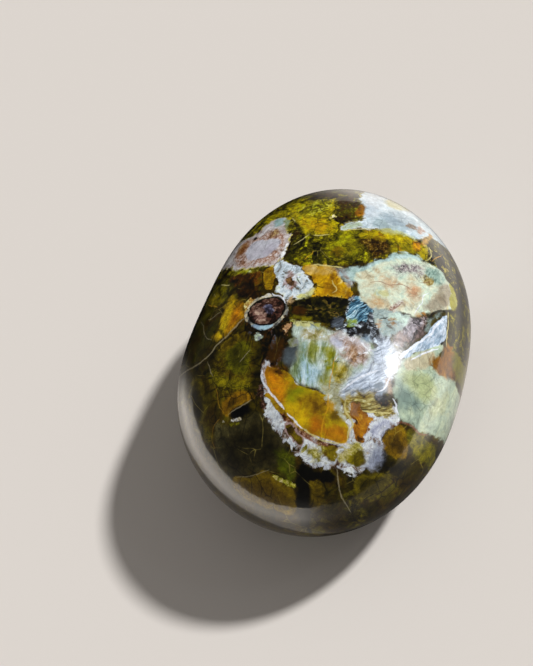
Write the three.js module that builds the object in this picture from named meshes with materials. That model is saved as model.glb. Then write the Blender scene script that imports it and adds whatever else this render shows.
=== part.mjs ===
// A palm stone: one polished pebble of green opal, sized to lie in a closed hand.
// Millimetres, +Z up. X runs along the stone, and the origin is the middle of the small flat spot it rests on.

import * as THREE from "three";

// The pebble's overall size
const LENGTH = 62;
const WIDTH = 45;
const CROWN_HEIGHT = 14.8; // from the widest level up to the top
const BELLY_HEIGHT = 13.2; // from the resting spot up to the widest level
const FLAT_CUT = 0.4; // how much of the rounded underside the resting spot takes off

// How the plan outline departs from an ellipse, as shares of its radius, each with the direction of its bulge
const EGG_SHARE = 0.014;
const EGG_DIRECTION = THREE.MathUtils.degToRad(10);
const SHOULDER_SHARE = 0.0205;
const SHOULDER_DIRECTION = THREE.MathUtils.degToRad(33);

// Exponents of the upright section: 2 and 2 would be an ellipse, and more is a flatter face with a tighter rim
const SECTION_SPREAD = 2.3;
const SECTION_RISE = 2.05;

// Facets
const SEGMENTS_AROUND = 72;
const CROWN_RINGS = 20;
const BELLY_RINGS = 18;

const OLIVE_GREEN = 0x3a3a12;
const POLISH_ROUGHNESS = 0.08;

// The plan outline's radius in a direction, measured from +X towards +Y.
function outlineRadius(direction) {
  const halfLength = LENGTH / 2;
  const halfWidth = WIDTH / 2;
  const ellipse =
    (halfLength * halfWidth) /
    Math.hypot(halfWidth * Math.cos(direction), halfLength * Math.sin(direction));
  const egg = EGG_SHARE * Math.cos(3 * (direction - EGG_DIRECTION));
  const shoulders = SHOULDER_SHARE * Math.cos(4 * (direction - SHOULDER_DIRECTION));
  return ellipse * (1 + egg + shoulders);
}

// A point of the upright section, as a share of the outline's radius and a height above the widest level.
// slope runs from 0 at the widest level to a quarter turn at the pole.
function sectionPoint(slope, poleHeight) {
  const share = Math.cos(slope) ** (2 / SECTION_SPREAD);
  const height = poleHeight * Math.sin(slope) ** (2 / SECTION_RISE);
  return new THREE.Vector2(share, height);
}

// The slope at which the underside meets the resting spot.
function slopeOfFlat() {
  const depth = BELLY_HEIGHT + FLAT_CUT;
  return Math.asin((BELLY_HEIGHT / depth) ** (SECTION_RISE / 2));
}

// The whole section from the middle of the resting spot, round the widest level, to the top.
function sectionProfile() {
  const quarter = Math.PI / 2;
  const lowest = slopeOfFlat();
  const points = [new THREE.Vector2(0, 0)];
  for (let ring = 0; ring < BELLY_RINGS; ring++) {
    const point = sectionPoint(lowest * (1 - ring / BELLY_RINGS), BELLY_HEIGHT + FLAT_CUT);
    points.push(new THREE.Vector2(point.x, BELLY_HEIGHT - point.y));
  }
  for (let ring = 0; ring < CROWN_RINGS; ring++) {
    const point = sectionPoint((quarter * ring) / CROWN_RINGS, CROWN_HEIGHT);
    points.push(new THREE.Vector2(point.x, BELLY_HEIGHT + point.y));
  }
  points.push(new THREE.Vector2(0, BELLY_HEIGHT + CROWN_HEIGHT));
  return points;
}

// The round of unit radius that the section turns into, stretched to the plan outline.
function pebbleGeometry() {
  const geometry = new THREE.LatheGeometry(sectionProfile(), SEGMENTS_AROUND);
  geometry.rotateX(Math.PI / 2);
  const position = geometry.getAttribute("position");
  for (let i = 0; i < position.count; i++) {
    const share = Math.hypot(position.getX(i), position.getY(i));
    const direction = Math.atan2(position.getY(i), position.getX(i));
    const radius = share * outlineRadius(direction);
    position.setX(i, radius * Math.cos(direction));
    position.setY(i, radius * Math.sin(direction));
  }
  geometry.computeVertexNormals();
  return geometry;
}

function stone() {
  const material = new THREE.MeshStandardMaterial({
    color: OLIVE_GREEN,
    roughness: POLISH_ROUGHNESS,
    metalness: 0,
  });
  const mesh = new THREE.Mesh(pebbleGeometry(), material);
  mesh.name = "stone";
  return mesh;
}

const palmStone = new THREE.Group();
palmStone.add(stone());

export default palmStone;
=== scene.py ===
"""The look of the palm stone: one polished pebble of green opal on a pale floor.

Places on the stone are millimetres in the part's own plan: X along the stone, Y across it. A place outside
the stone's outline lies on the underside, as far in from the outline as it is written outside it.
"""
import math
from collections import namedtuple

import bpy
import numpy as np
from mathutils import Matrix, Vector


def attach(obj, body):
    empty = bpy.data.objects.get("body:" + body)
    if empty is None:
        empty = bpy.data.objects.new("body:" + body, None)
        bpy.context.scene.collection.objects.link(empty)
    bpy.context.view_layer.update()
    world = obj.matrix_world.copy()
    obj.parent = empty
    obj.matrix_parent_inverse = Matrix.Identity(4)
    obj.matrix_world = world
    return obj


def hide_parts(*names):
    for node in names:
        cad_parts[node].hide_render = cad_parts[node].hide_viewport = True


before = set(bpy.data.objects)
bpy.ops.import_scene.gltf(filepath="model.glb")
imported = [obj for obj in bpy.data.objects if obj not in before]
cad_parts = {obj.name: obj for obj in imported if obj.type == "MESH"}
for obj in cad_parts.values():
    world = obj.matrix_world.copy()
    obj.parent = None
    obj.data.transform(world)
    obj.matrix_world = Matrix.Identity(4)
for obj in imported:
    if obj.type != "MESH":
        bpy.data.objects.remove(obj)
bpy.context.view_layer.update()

MM = 0.001

# The stone's shape, as the part's source has it, with lengths in millimetres.
LENGTH = 62.0
WIDTH = 45.0
CROWN_HEIGHT = 14.8
BELLY_HEIGHT = 13.2
FLAT_CUT = 0.4
EGG_LOBES, EGG_SHARE, EGG_DIRECTION = 3, 0.014, math.radians(10)
SHOULDER_LOBES, SHOULDER_SHARE, SHOULDER_DIRECTION = 4, 0.0205, math.radians(33)
SECTION_SPREAD = 2.3
SECTION_RISE = 2.05

# How finely the skin is meshed.
STEPS_AROUND = 400
CROWN_RINGS = 108
BELLY_RINGS = 82
FLAT_RINGS = 6
SKIN_INSET = 0.998  # keeps the round skin inside the faceted solid's box

# The camera, found by matching outline, cast shadow and reflected horizon to the photograph.
CAMERA_AZIMUTH = math.radians(-57.05)
CAMERA_ELEVATION = math.radians(53.62)
CAMERA_ROLL = math.radians(-23.74)
CAMERA_AIM = Vector((2.83, 10.52, 13.2)) * MM
CAMERA_DISTANCE = 152.06 * MM
CAMERA_LENS = 50.13  # mm
CAMERA_SENSOR = 36.0  # mm along the picture's long side
CAMERA_CLIP = 0.005, 20.0  # metres

# The floor, in metres, and the painted light and shade on it that only the polish mirrors: painted shade
# close to the stone, painted light further away, and painted shade on some sides. A side is a direction, the
# two cosines of the angle from it between which the shade sets in, and how much light is left there.
FLOOR_HALF = 3.0
FLOOR_COLOUR = 0xD3CDC7
FLOOR_ROUGHNESS, FLOOR_GLOSS = 0.9, 0.15
MIRRORED_NEAR_PAINTED_SHADE = (0.5, 0.46, 0.42, 1.0)
MIRRORED_FAR_PAINTED_LIGHT = (1.7, 1.58, 1.42, 1.0)
MIRROR_REACH = 0.04, 0.075  # metres from the stone's middle between which the one turns into the other
MIRRORED_PAINTED_SHADE = [
    ((-0.77, -0.64), 0.7, 0.93, 0.12),
    ((0.64, 0.77), 0.66, 0.9, 0.0),
    ((0.94, -0.34), 0.4, 0.9, 0.55),
]

# Each lamp: the direction towards it, its watts per square metre, and the width of its disc in degrees.
KEY_LAMP = Vector((0.499, -0.544, 0.674)), 3.9, 5.0  # casts the shadow
GLINT_LAMP = Vector((0.291, -0.634, 0.716)), 3.2, 3.0  # shows as the hot spot
ROOM_LIGHT = (0.27, 0.26, 0.25, 1.0)
ROOM_MIRRORED = (0.03, 0.03, 0.03, 1.0)
ROOM_SEEN = (0.5, 0.48, 0.46, 1.0)

# The surface. The waves of the polish are given by their size and height in millimetres.
SURFACE = {"Roughness": 0.3, "IOR": 1.4, "Coat Weight": 1.0, "Coat Roughness": 0.06, "Coat IOR": 1.6}
POLISH_WAVE, POLISH_HEIGHT = 3.0, 0.06
RICHNESS, BRIGHTNESS, DEPTH = 1.12, 1.1, 1.12  # how the clear polish deepens the colours

# The fine speckle: the noise between which it runs, and how dark and how light it makes first the body alone
# and then everything.
SPECKLE_RANGE = 0.3, 0.72
BODY_SPECKLE = 0.6, 1.45
ALL_SPECKLE = 0.72, 1.22

# The shift that bends the patterns' straight edges.
SWAY_SEED = 11
SWAY_WAVES = ((9.0, 0.45), (4.0, 0.2), (2.0, 0.08))  # wavelength and reach in millimetres
WAVES_EACH = 3

# Edges and veins, in millimetres unless a line says otherwise.
FAR = 2.0  # beyond which a distance needs no more care
OUTLINE_STEP = 1.2  # the longest straight stretch of a zone's edge
VEIN_STEP = 0.4  # and of a vein
CORNER_CUTS, CORNER_CUT = 2, 0.25  # how often an outline's corners are cut, and by which share of its sides
VEIN_REACH = 0.45  # from a vein's middle, within which its width is kept
VEIN_TAPER = 0.9  # over which a vein narrows to its end
LOST_BESIDE, LOST_BEYOND = 3, 2  # width lost for each millimetre past that reach, and past a vein's end
VEIN_EDGE = -0.06, 0.04  # between which a vein's edge blends
VEIN_WANDER = 0.5  # how far a vein is pushed about, from side to side
LINE_CORE = 0.3  # the share of a zone's line that is at full strength
LINE_GAPS = 0.7, 0.35  # the grit between which a broken line comes and goes

# Nodes.
CELL_MIDDLE = 0.4  # the middle of the range of distances in a cell of size 1
ZONES_TOGETHER = 8  # zones in one node group, because small groups are quick to make
MIX_SOCKETS = 0, 6, 7  # the share and the two colours of a colour mix
MIX_RESULT = 2  # and the colour that it makes
SRGB_SLOPE, SRGB_KNEE, SRGB_OFFSET, SRGB_POWER = 12.92, 0.04045, 0.055, 2.4

# Colours, as the eye sees them.
BLACK = 0x0C0A06
GLASS = 0x181509
BOTTLE = 0x26220B
PEAT = 0x33230C
UMBER = 0x4A2E0E
BROWN = 0x6B4312
BRONZE = 0x3C2E0C
DEEP_OLIVE = 0x38360C
OLIVE = 0x5E580A
MOSS = 0x807808
YELLOW_OLIVE = 0xA8980E
LIME = 0xA6A83C
HONEY = 0xB08E12
AMBER = 0xC88A10
BURNT = 0x9A6208
STRAW = 0xC8BE7A
SEAM = 0xA89C60
CREAM = 0xDCD8BC
BONE = 0xC8BEA0
PEACH = 0xC8A07C
TAN = 0xB08A5C
ICE = 0xCCD8E0
SNOW = 0xE4E6E8
SKY = 0xA4BCC8
SLATE = 0x4A5058
ASH = 0x8C9094
SAGE = 0x96A68C
SEA = 0x8AA092
PALE_SAGE = 0xBCC496
GROUND = [BLACK, 0x1E1A08, 0x2E280A, 0x423A0A, 0x34280A, 0x4A3C0C, 0x58500C, 0x6A620E]  # under all the zones

# The cloudy grains: the noise's size in millimetres, detail, roughness and distortion, its contrast, the size
# and slope of the angular cells in it, and the cells' share.
CLOUDY = {
    "cloud": ((3.6, 4.0, 0.55, 0.7), 2.6, (4.4, 1.4), 0.3),
    "mottle": ((1.6, 7.0, 0.75, 0.9), 2.8, (1.2, 1.2), 0.3),
    "flake": ((2.6, 7.0, 0.75, 1.4), 2.8, (2.4, 1.2), 0.4),
    "smooth": ((2.2, 6.0, 0.66, 0.8), 2.5, (2.8, 1.2), 0.22),
}
# The streaked grains: the direction of the streaks in degrees, and their length and width in millimetres.
STREAKED = {
    "wedge": (-27, 7.0, 0.4),
    "veil": (-48, 5.0, 0.45),
    "bands": (14, 4.0, 0.5),
    "strands": (-72, 4.0, 0.45),
    "steel": (-40, 3.0, 0.35),
}
# The hairlines, pale and dark: the size of the cells between them and their half width in millimetres, the
# noise between which they come and go, and their colour. Then how strong both are in the body and over
# everything.
HAIRLINES = [(5.0, 0.08, (0.5, 0.62), SEAM), (1.9, 0.1, (0.56, 0.42), BLACK)]
BODY_HAIRLINES = 0.35, 0.7
ALL_HAIRLINES = 0.15, 0.3

# Each zone is painted over the ones before it. grain is the pattern that picks its colours, soft how far its
# edge blends to either side, and wobble and fray how far the edge wanders, all in millimetres. cover is how
# much it hides of what is below. depth is over how many millimetres the colours run from the edge inwards,
# and the share of the choice that stays with the grain. line is a thin edge: its half width, its colour, and
# BROKEN where it comes and goes.
BROKEN = True
Zone = namedtuple("Zone", "name grain soft colours outline wobble fray cover depth line",
                  defaults=(1.1, 1.0, 1.0, None, None))

# The olive body.
BODY = [
    # The olive end, to the right of the middle, and the ground of the shoulder.
    Zone("olive_end", "flake", 0.5, [BLACK, PEAT, BOTTLE, OLIVE, MOSS, YELLOW_OLIVE], [(5.2, 24), (5.6, 15),
         (5.8, 12), (5.7, 9), (6.2, 5), (6.4, 0), (6.6, -4), (7.6, -8), (9.5, -10.6), (11.2, -13),
         (11.2, -16), (10, -19), (8, -21.5), (9, -26), (24, -28), (40, -14), (43, 4), (36, 22), (16, 30)]),
    Zone("olive_shoulder", "cloud", 1.0, [BLACK, BRONZE, 0x3A340A, DEEP_OLIVE, 0x544E0C, OLIVE],
         [(-9.8, 16.5), (-8.6, 14), (-6.5, 13), (-3, 13.4), (1, 13), (4, 12.6), (6.2, 13.5), (6.2, 17),
         (5, 23), (-2, 25), (-8, 24)]),
    Zone("bright_olive", "flake", 0.5, [BLACK, PEAT, OLIVE, MOSS, YELLOW_OLIVE, YELLOW_OLIVE, LIME],
         [(12.6, 1.8), (12.8, -0.6), (14, -1.6), (16, -1.6), (17.6, -0.4), (20, -0.8), (22.6, 0.4),
         (23.6, 2.6), (23, 5), (21, 6.4), (20.6, 9.4), (19, 10.2), (17.8, 9), (17.6, 6.6), (15.8, 5.6),
         (14.6, 4), (13.4, 2.8)]),
    Zone("glowing_olive", "smooth", 0.7, [MOSS, YELLOW_OLIVE, HONEY, 0xBCAC24], [(12.9, 1.6), (13, -0.4),
         (14.5, -1), (16.2, 0.4), (16.9, 2.6), (16.6, 4.6), (15.4, 4.6), (14, 2.8)]),
    Zone("right_shade", "flake", 0.7, [BLACK, PEAT, UMBER, DEEP_OLIVE, OLIVE, MOSS], [(22.8, 5.6), (23.4, 3),
         (22.8, 0.6), (20, -0.8), (17.4, -1), (16.6, -2.6), (17.4, -4), (20, -3.6), (22.6, -2.6),
         (25.5, -1.8), (28, 0), (28, 6), (25.5, 6.8)]),
    Zone("right_glint_olive", "flake", 0.7, [BLACK, DEEP_OLIVE, OLIVE, MOSS, LIME, STRAW], [(17.4, 4),
         (19, 6.2), (20.6, 5.4), (22.6, 3.2), (22.4, 1.2), (20.8, 0.8), (18.4, 1.4)]),
    # The far side, both ends, the front and the underside.
    Zone("back_olive", "flake", 0.6, [BLACK, PEAT, OLIVE, MOSS, YELLOW_OLIVE, LIME], [(12, 25), (20, 21),
         (28, 18), (35, 22), (29, 30), (18, 33)]),
    Zone("back_dark", "smooth", 0.8, [BLACK, GLASS, BOTTLE, DEEP_OLIVE], [(17, 19), (20, 16.6), (25, 17),
         (28, 21), (24, 26), (19, 26)]),
    Zone("end_lime", "flake", 0.6, [OLIVE, MOSS, YELLOW_OLIVE, LIME], [(26, 24), (31, 20), (36, 24), (33, 30),
         (27, 29)]),
    Zone("end_dark", "smooth", 0.8, [BLACK, PEAT, UMBER, DEEP_OLIVE], [(31, 4), (36, 5), (38, 12), (34, 17),
         (30, 13)]),
    Zone("back_amber", "flake", 0.4, [PEAT, UMBER, BROWN, BURNT, AMBER, STRAW], [(-3, 26), (2, 24.6), (8, 26),
         (10, 31), (4, 33), (-2, 31)]),
    Zone("back_cream", "smooth", 0.25, [0x8E9C88, 0xB8C0A4, 0xD0DAC4, 0xC8D4C4], [(-17, 22), (-12, 23),
         (-8, 27), (-10, 32), (-16, 30), (-19, 26)], line=(0.3, 0x6E6A4A, BROKEN)),
    Zone("back_peach", "mottle", 0.8, [0xA87850, 0xC09C78, 0xD2C4AA], [(-15, 25), (-12, 25), (-11, 28),
         (-14, 28.6)]),
    Zone("back_mauve", "grit", 0.4, [0x5E4C4A, 0x948086, 0xB4AAB4, 0xCCC8D0], [(-30, 15), (-25, 18),
         (-23, 23), (-28, 24), (-34, 20)], line=(0.25, STRAW, BROKEN)),
    Zone("end_sage", "smooth", 0.3, [0x6A7E70, 0x8AA092, 0xA4B4A0, 0xBCC4A0], [(-36, -3), (-34, 3), (-37, 9),
         (-43, 7), (-44, -1), (-40, -5)]),
    Zone("front_moss", "flake", 0.6, [BLACK, PEAT, OLIVE, MOSS, YELLOW_OLIVE], [(-33, -16), (-28, -21),
         (-22, -27), (-28, -33), (-37, -26)]),
    Zone("front_amber", "flake", 0.4, [PEAT, BROWN, BURNT, AMBER, HONEY], [(-16, -29), (-9, -27), (-4, -30),
         (-7, -36), (-15, -35)], line=(0.25, 0xC8C4B0, BROKEN)),
    Zone("under_ice", "smooth", 0.3, [0x94A4AC, 0xB8C8D0, 0xC8D4DC, 0xDEE4E8], [(8, -31), (14, -29),
         (20, -32), (19, -40), (11, -42), (6, -37)]),
    Zone("under_olive", "flake", 0.6, [BLACK, DEEP_OLIVE, OLIVE, MOSS, LIME], [(-50, 12), (-44, 18),
         (-36, 26), (-28, 34), (-40, 36), (-54, 24)]),
    # The olive beside the ringed patch, and the band from there down to the heel.
    Zone("far_olive", "flake", 0.8, [BLACK, PEAT, DEEP_OLIVE, OLIVE, MOSS, YELLOW_OLIVE, LIME], [(14.8, 15.6),
         (14.6, 13.2), (16.6, 11), (18.6, 10.4), (22, 9), (26, 8), (30, 9), (30, 16), (22, 22), (17.5, 20),
         (15.6, 17)]),
    Zone("olive_band", "flake", 0.4, [BLACK, BLACK, DEEP_OLIVE, DEEP_OLIVE, OLIVE, MOSS, LIME], [(7, 5.2),
         (8.6, 4.9), (11, 4.6), (12.8, 2.4), (12.3, 0.6), (12.8, -1.6), (14, -3), (14.8, -6), (15.2, -10),
         (15, -13.6), (11.6, -14), (9.4, -10.2), (7.4, -7.6), (6.5, -4), (6.5, 1)]),
    Zone("band_glow", "mottle", 1.0, [DEEP_OLIVE, OLIVE, MOSS, 0x8E8C24, LIME], [(8.8, -1.6), (11, -1.8),
         (13.2, -2.6), (14.3, -4.2), (14, -5.2), (11.4, -5.4), (10, -6), (8.8, -5), (9, -3)], wobble=1.6),
    Zone("band_rust", "mottle", 0.5, [OLIVE, 0x7A5A14, 0x8E6C1E], [(8.2, -2.6), (9.4, -2), (10.2, -2.6),
         (9.6, -3.4), (8.4, -3.4)], cover=0.75),
    Zone("band_brown", "grit", 0.8, [BLACK, 0x1E1406, 0x38260C, 0x54401A, 0x7E6C3C], [(11.4, -5.6),
         (12.6, -5.4), (13.6, -6.4), (13.2, -8), (13.4, -9.4), (12.6, -10.2), (11, -10.4), (9.6, -10.2),
         (8.8, -9), (8.6, -8.2), (9.8, -7.2), (11, -6.8)], wobble=1.4),
    Zone("band_stripe", "smooth", 0.5, [BROWN, 0x8A6A0A, 0x9A8A10, 0xA89A18, 0xB0A428], [(12.6, -5.2),
         (14.2, -5.4), (15.2, -7.2), (15.9, -9.6), (15.8, -12), (15.2, -13.8), (13.4, -13.4), (12.8, -11.6),
         (13.4, -9.4), (13, -7.8), (13, -6.4)]),
    Zone("band_foot", "smooth", 0.4, [0x6A4A0A, 0x8A6A0C, MOSS, 0x9C8C10, YELLOW_OLIVE], [(10.4, -11),
         (12, -10.4), (13.2, -11), (13.8, -12.6), (13.6, -14), (12, -14.2), (11.4, -12.6)]),
    Zone("band_orange", "mottle", 0.3, [BURNT, 0xA8780C, 0xC09428], [(12.4, -13.6), (13.4, -13),
         (14.6, -13.2), (15, -14.2), (14, -14.7), (12.8, -14.3)]),
    Zone("foot_lens", "cloud", 0.12, [OLIVE, MOSS, YELLOW_OLIVE, LIME], [(11, -14), (12.4, -14.2),
         (14, -14.5), (15.2, -14.6), (14.6, -15.2), (13.2, -15.7), (12, -15.6), (11.2, -15)]),
    Zone("heel", "shard", 0.2, [BLACK, BLACK, BOTTLE, DEEP_OLIVE, OLIVE, 0x8A8048], [(9.8, -18.8),
         (10.8, -17), (11, -15.6), (12.4, -15.9), (14, -15.6), (15.4, -15.1), (17.6, -15.4), (18.2, -17),
         (16, -19.4), (12.4, -21.6), (8.6, -22.6), (8.4, -20.2)]),
    # The dark glassy end, to the left.
    Zone("left_olive", "flake", 1.2, [0x221C08, 0x3E320A, 0x56480C, 0x665E0C, 0x5A460C], [(-17, 11),
         (-14, 12.4), (-10.4, 13), (-8.6, 11.5), (-5.6, 9), (-6.8, 6.8), (-10, 6), (-13.6, 6), (-16.6, 5.4),
         (-17.4, 8)]),
    Zone("left_amber", "smooth", 0.3, [0x98761A, 0x7C5C10, 0x5A440A, 0x34280A], [(-18.4, 9.2), (-16.6, 10),
         (-15.2, 8.8), (-14.6, 6.6), (-15.4, 4.8), (-16.4, 5.2), (-17.4, 7)], depth=(2.0, 0.4)),
    Zone("left_moss", "flake", 0.8, [0x3A380A, 0x5E5A0E, 0x847C14, 0x9A9020], [(-14.9, 5.4), (-14.6, 8),
         (-14.5, 10.4), (-13.7, 12), (-12.2, 12.9), (-10.4, 14), (-11.2, 12.2), (-12.6, 10.6), (-13.3, 8.4),
         (-13.8, 6)], cover=0.8),
    Zone("left_lobe", "cloud", 0.5, [0x6C6A14, 0x545210, 0x3C3A0A, 0x26240A], [(-12.2, 8.6), (-11, 10.4),
         (-9.2, 11.2), (-7.4, 10), (-7, 8), (-8.6, 6.8), (-10.6, 6.2), (-12, 6.8)], depth=(2.2, 0.4)),
    Zone("slope_lobe", "smooth", 0.3, [0x80701E, 0x54460E, 0x30290A, 0x1E1A08], [(-8.4, 12.6), (-6.6, 11.2),
         (-5.4, 9.8), (-6.6, 8.4), (-8, 9.4), (-9, 11)], depth=(1.8, 0.4)),
    Zone("upper_lobe", "smooth", 0.4, [0x746A1C, 0x4A4210, 0x2C270A, 0x1E1A08], [(-20.4, 14), (-17, 16),
         (-13, 17), (-12, 15), (-14.6, 13.2), (-18, 12.2)], depth=(2.0, 0.4)),
    Zone("dome_lobe", "smooth", 0.3, [0x6E6844, 0x3E3A22, 0x26220F, 0x1A170B], [(-24, 8.4), (-21.4, 10.4),
         (-18.8, 11), (-19.4, 8.6), (-20.2, 6.2), (-22, 5.2), (-23.8, 6.2)], depth=(3.0, 0.3)),
    Zone("grey_dome", "smooth", 0.8, [0x4E4A30, 0x342F1A, 0x1E1B0C, 0x181508], [(-25.9, 6.2), (-25.2, 2),
         (-24.8, -0.6), (-22, -1.6), (-20, 0), (-18, 3), (-18.6, 5.4), (-19.6, 8), (-22, 10), (-24.8, 9)],
         depth=(4.0, 0.35)),
    # A pit in the surface, left flat: black painted shade inside it, straw and white painted highlight on its
    # edge, and a painted glint beside it.
    Zone("pit_painted_shade", "cloud", 0.35, [0x050505], [(-18.6, 8.2), (-17.8, 8), (-17, 6.6), (-16.4, 5.4),
         (-17.2, 5), (-18.3, 5.5), (-18.7, 7)], fray=0.1),
    Zone("pit_painted_highlight_straw", "grit", 0.2, [MOSS, LIME], [(-19.7, 8), (-19.3, 8.3), (-19.15, 7), (-19.25, 6.2),
         (-19.6, 6.6)], wobble=0.2),
    Zone("pit_painted_highlight_white", "grit", 0.1, [BONE, SNOW], [(-19.15, 8), (-18.85, 8.1), (-18.7, 7.2), (-18.5, 6.3),
         (-18.8, 6), (-19.1, 6.9)], wobble=0.1, fray=0.1),
    Zone("pit_painted_glint", "grit", 0.08, [BONE, SNOW], [(-19.3, 9.1), (-19.05, 9.5), (-18.8, 9.25), (-19, 8.95)],
         wobble=0.1, fray=0.1),
    Zone("crescent", "smooth", 0.25, [0x98801E, 0x7C6814, 0x665208, 0x504008], [(-28.8, 2), (-28, 5),
         (-26.8, 7.2), (-26, 7), (-25.75, 5), (-25.5, 3.2), (-25, 1.9), (-25.4, 1), (-25.9, -0.2),
         (-26.5, -1.6), (-26.6, -2.7), (-29.5, -2.7)], fray=0.15, depth=(2.0, 0.5)),
    Zone("sliver", "grit", 0.1, [MOSS, LIME, STRAW, CREAM], [(-25.3, 1), (-25.35, 0.2), (-25.7, -0.9),
         (-25.95, -1.8), (-26.05, -2.7), (-26.7, -2.6), (-26.4, -1.6), (-26.1, -0.5), (-25.8, 0.4)],
         wobble=0.4, fray=0.4),
    Zone("green_patch", "smooth", 0.6, [0x2E3408, 0x4A500C, 0x626810], [(-25.6, -0.4), (-24.6, 0.2),
         (-23, 0.4), (-22.4, -1), (-22.8, -2), (-24, -2.5), (-25.8, -2.4)]),
    Zone("black_band", "cloud", 0.25, [BLACK], [(-30, -2.9), (-26.4, -2.7), (-23.2, -2.9), (-23.8, -4),
         (-24.2, -5.6), (-23.6, -7.8), (-25.2, -7.8), (-25.4, -6), (-26, -4.8), (-30, -4.4)]),
    Zone("left_spot", "smooth", 0.4, [0x7A680E, 0x5E4E0C, 0x3A300A], [(-28.5, -5), (-27, -4.8), (-25.8, -4.7),
         (-25.4, -5.4), (-25.8, -6.4), (-28, -6.4)], depth=(1.2, 0.5)),
    Zone("left_foot", "flake", 0.5, [BLACK, 0x2E280A, 0x4A420C, 0x66600E, 0x7A7416], [(-28.5, -9),
         (-27, -9.4), (-26, -8.9), (-25.4, -9.6), (-25.8, -11), (-27.5, -12.5), (-30, -12)]),
    Zone("rim_lobe", "smooth", 0.3, [0x746A1A, 0x4A4210, 0x28230A], [(-26.4, -11), (-24, -13.8),
         (-21.6, -15.4), (-22.4, -12.8), (-24.4, -10)], depth=(1.4, 0.5)),
    Zone("brown_cell", "smooth", 0.25, [0x86700E, 0x745A0C, 0x523E08, 0x362808], [(-19.9, -13.7),
         (-18.8, -13.4), (-17.7, -13.6), (-16.9, -14.4), (-16.1, -15.2), (-16, -16.2), (-17, -17),
         (-18.6, -16.8), (-19.7, -16.2)], depth=(2.0, 0.5)),
    Zone("rim_moss", "smooth", 0.4, [0x3A380A, 0x5E5A0C, 0x7E760E, 0x8E8618], [(-17.6, -16.5), (-16.2, -16.3),
         (-15.8, -17.6), (-15.4, -19.6), (-17, -20), (-18.6, -18.2)]),
    # The olive shoulder, above the middle.
    Zone("shoulder_flake", "flake", 0.5, [PEAT, DEEP_OLIVE, OLIVE, MOSS], [(-0.2, 17), (1.4, 18.4), (4, 19),
         (5, 17), (4.6, 15.2), (3.4, 13.6), (1.4, 13.4), (0, 14.6)]),
    Zone("shoulder_gold", "smooth", 0.5, [0x4E480E, 0x6E6410, 0x8A7C14, 0xA08E1E], [(-0.2, 14.9), (0.4, 16.2),
         (1.6, 17.6), (3.6, 18.4), (3.4, 16.6), (2, 15), (0.8, 14.2)], cover=0.85),
    Zone("mid_yellow", "smooth", 0.6, [0x84640A, 0xA0820E, 0xB4961A, 0xC0AA30], [(-6.6, 13.8), (-5.6, 13.9),
         (-5, 13.4), (-3.2, 13.3), (-2, 13.1), (1, 13), (1.6, 12.6), (0.8, 12), (0, 11.2), (-0.6, 10.4),
         (-0.6, 9.8), (-2, 9.7), (-3.4, 9.2), (-4.5, 10.1), (-5.4, 11), (-6.4, 12.2)]),
    Zone("mid_amber", "smooth", 1.2, [0x70480A, 0x9C640A, 0xB4780E], [(-5.4, 11.9), (-4.4, 11.6), (-3, 11.9),
         (-1.2, 11.5), (-0.4, 10.7), (-0.8, 10), (-2, 9.7), (-3.5, 9.4), (-4.4, 10.3)]),
    Zone("mid_light", "smooth", 0.8, [0xAC921A, 0xC4AE38, 0xCCBC58], [(-6, 13), (-4.6, 13), (-2.6, 12.8),
         (0.6, 12.7), (1, 12.3), (-0.6, 11.9), (-3, 11.8), (-5.2, 12)], cover=0.8),
    Zone("umber_slope", "flake", 0.3, [BLACK, PEAT, UMBER, BROWN, OLIVE], [(2.9, 12.3), (4.4, 14),
         (5.8, 14.9), (6, 12.8), (5.4, 11.2), (5.7, 9.4), (5.2, 8.2), (3.6, 7.9), (1.4, 7.8), (0.6, 7.2),
         (0.2, 8), (1.6, 8.6), (3.4, 9.5), (4.2, 10.5), (3.6, 11.5)]),
    Zone("brown_lens", "mottle", 0.25, [BLACK, 0x1E140A, 0x2E1E0C, UMBER], [(-0.5, 8.1), (0, 9), (0.1, 10),
         (0.3, 11), (1.2, 11.6), (2.2, 12), (2.9, 12.2), (3.4, 11.4), (4, 10.5), (3.6, 9.5), (2.6, 8.8),
         (1.4, 8.4), (0.2, 7.9)], fray=0.6),
    Zone("yellow_edge", "mottle", 0.3, [OLIVE, MOSS, LIME, PALE_SAGE], [(5.2, 9.4), (5.6, 10.8), (5.6, 12.4),
         (6, 14.2), (6.4, 15.4), (7.2, 15.2), (6.7, 13.6), (6.3, 12), (6.1, 10.4), (5.9, 9)]),
    Zone("yellow_tongue", "smooth", 0.08, [UMBER, 0x7E5E0C, 0xA0820E, 0xA89420], [(1, 6), (1.6, 6.9),
         (2.4, 7.4), (4, 7.7), (5.8, 8.2), (6.2, 7.2), (6.1, 6.2), (4.6, 5.8), (3, 5.4), (1.8, 5.3)],
         fray=0.5, line=(0.14, PEAT)),
]

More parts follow.
